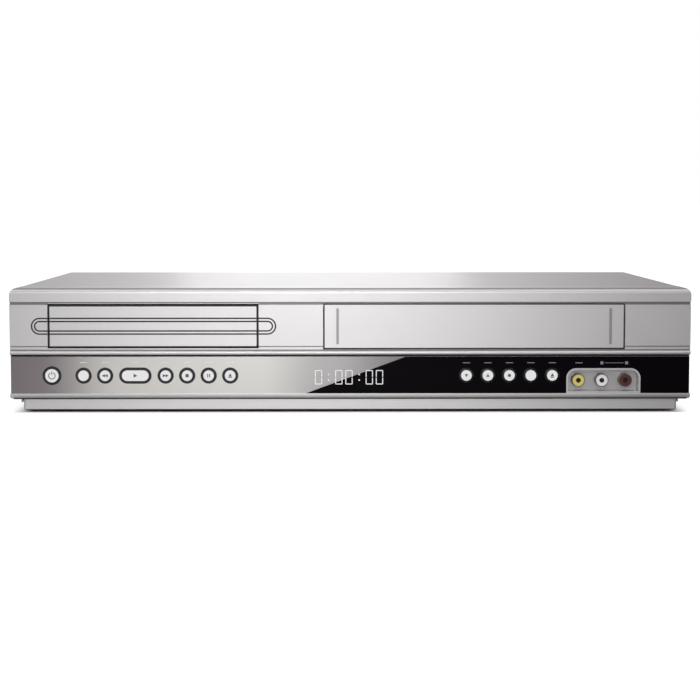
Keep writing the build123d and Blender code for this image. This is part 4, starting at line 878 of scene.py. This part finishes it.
def studio_world(ambient, near, far, high, low):
    """White backdrop. As gloss shows it, it is brightest in front and behind and dim aside."""
    world = bpy.data.worlds.new("studio")
    scene.world = world
    world.use_nodes = True
    tree = world.node_tree
    background = tree.nodes["Background"]
    toward = axes(tree, tree.nodes.new("ShaderNodeTexCoord").outputs["Generated"])
    aside = calculate(tree, "ABSOLUTE", calculate(tree, "ADD", toward["X"], 0.02))
    ahead = calculate(tree, "MAXIMUM", calculate(tree, "ABSOLUTE", toward["Y"]), 0.05)
    slope = calculate(tree, "DIVIDE", aside, ahead)
    level = calculate(tree, "ABSOLUTE", toward["Z"])
    mirrored = calculate(tree, "MULTIPLY", fade(tree, slope, near, far, high - low, 0.0),
                         fade(tree, level, 0.15, 0.6, 1.0, 0.55))
    mirrored = calculate(tree, "ADD", mirrored, low)
    seen, glossy = ray_kinds(tree)
    warmth = calculate(tree, "MULTIPLY", glossy, fade(tree, mirrored, low, high, 1.0, 0.0))
    tree.links.new(blended(tree, warmth, (1.0, 1.0, 1.0), (1.0, 0.94, 0.945)),
                   background.inputs["Color"])
    strength = mixed(tree, glossy, ambient, mirrored)
    strength = mixed(tree, seen, strength, 1.0)
    tree.links.new(strength, background.inputs["Strength"])


def studio_floor(boost, near, far, high, low):
    """Pale floor that keeps the object's shadow, with a painted shadow round its foot, and looks
    white to the camera.
    """
    bpy.ops.mesh.primitive_plane_add(size=60.0, location=(0, 0, 0))
    floor = bpy.context.object
    floor.name = "floor"
    material, tree, principled = shader("pale_floor", (0.8, 0.8, 0.8), 0.0, 0.9, 0.0)
    vector = coordinates(tree)
    place = axes(tree, vector)
    aside = calculate(tree, "ABSOLUTE", calculate(tree, "ADD", place["X"], 0.05))
    seen, glossy = ray_kinds(tree)
    shade = mixed(tree, glossy, 1.0, fade(tree, aside, near, far, high, low))
    shade = calculate(tree, "MULTIPLY", shade, between(tree, noise(tree, vector, 40.0), 0.79, 0.82))
    gray = tree.nodes.new("ShaderNodeCombineColor")
    for channel in ("Red", "Green", "Blue"):
        tree.links.new(shade, gray.inputs[channel])
    tree.links.new(gray.outputs["Color"], principled.inputs["Base Color"])
    principled.inputs["Emission Color"].default_value = (1.0, 1.0, 1.0, 1.0)
    # painted shadow: the glow ends under the object, whose foot is this wide and deep
    beside = calculate(tree, "SUBTRACT", calculate(tree, "ABSOLUTE", place["X"]), PLINTH_HALF)
    before = calculate(tree, "SUBTRACT", calculate(tree, "ABSOLUTE", place["Y"]), FOOT_HALF_DEPTH)
    away = calculate(tree, "MAXIMUM", beside, before)
    glow_with_painted_shadow = fade(tree, away, -0.004, 0.010, 0.0, boost)
    tree.links.new(mixed(tree, seen, 0.0, glow_with_painted_shadow), principled.inputs["Emission Strength"])
    floor.data.materials.append(material)


def lamp(name, place, target, width, height, power):
    light = bpy.data.lights.new(name, "AREA")
    light.shape = "RECTANGLE"
    light.size = width
    light.size_y = height
    light.energy = power
    holder = bpy.data.objects.new(name, light)
    scene.collection.objects.link(holder)
    holder.location = place
    aim = Vector(target) - Vector(place)
    holder.rotation_euler = aim.to_track_quat("-Z", "Y").to_euler()
    holder.visible_camera = False
    return holder


studio_world(0.82, 0.02, 0.28, 0.93, 0.17)
studio_floor(0.55, 0.02, 0.36, 1.0, 0.15)
lamp("front_softbox", (-0.07, -1.75, 0.50), (0, -0.1, 0.05), 0.20, 0.9, 3.2)
lamp("rear_softbox", (-0.03, 1.35, 0.40), (0, 0.0, 0.07), 0.40, 0.5, 0.5)
lamp("overhead_softbox", (0.0, -0.9, 1.6), (0, -0.1, 0.0), 1.6, 0.9, 4.0)

camera = bpy.data.cameras.new("camera")
camera.lens = 97.3
camera.sensor_width = 36.0
camera.clip_start = 0.05
holder = bpy.data.objects.new("camera", camera)
scene.collection.objects.link(holder)
holder.location = (-0.0103, FRONT - 1.19, 0.136)
holder.rotation_euler = Euler((math.radians(90 - 4.618), 0.0, math.radians(-0.478)))
scene.camera = holder
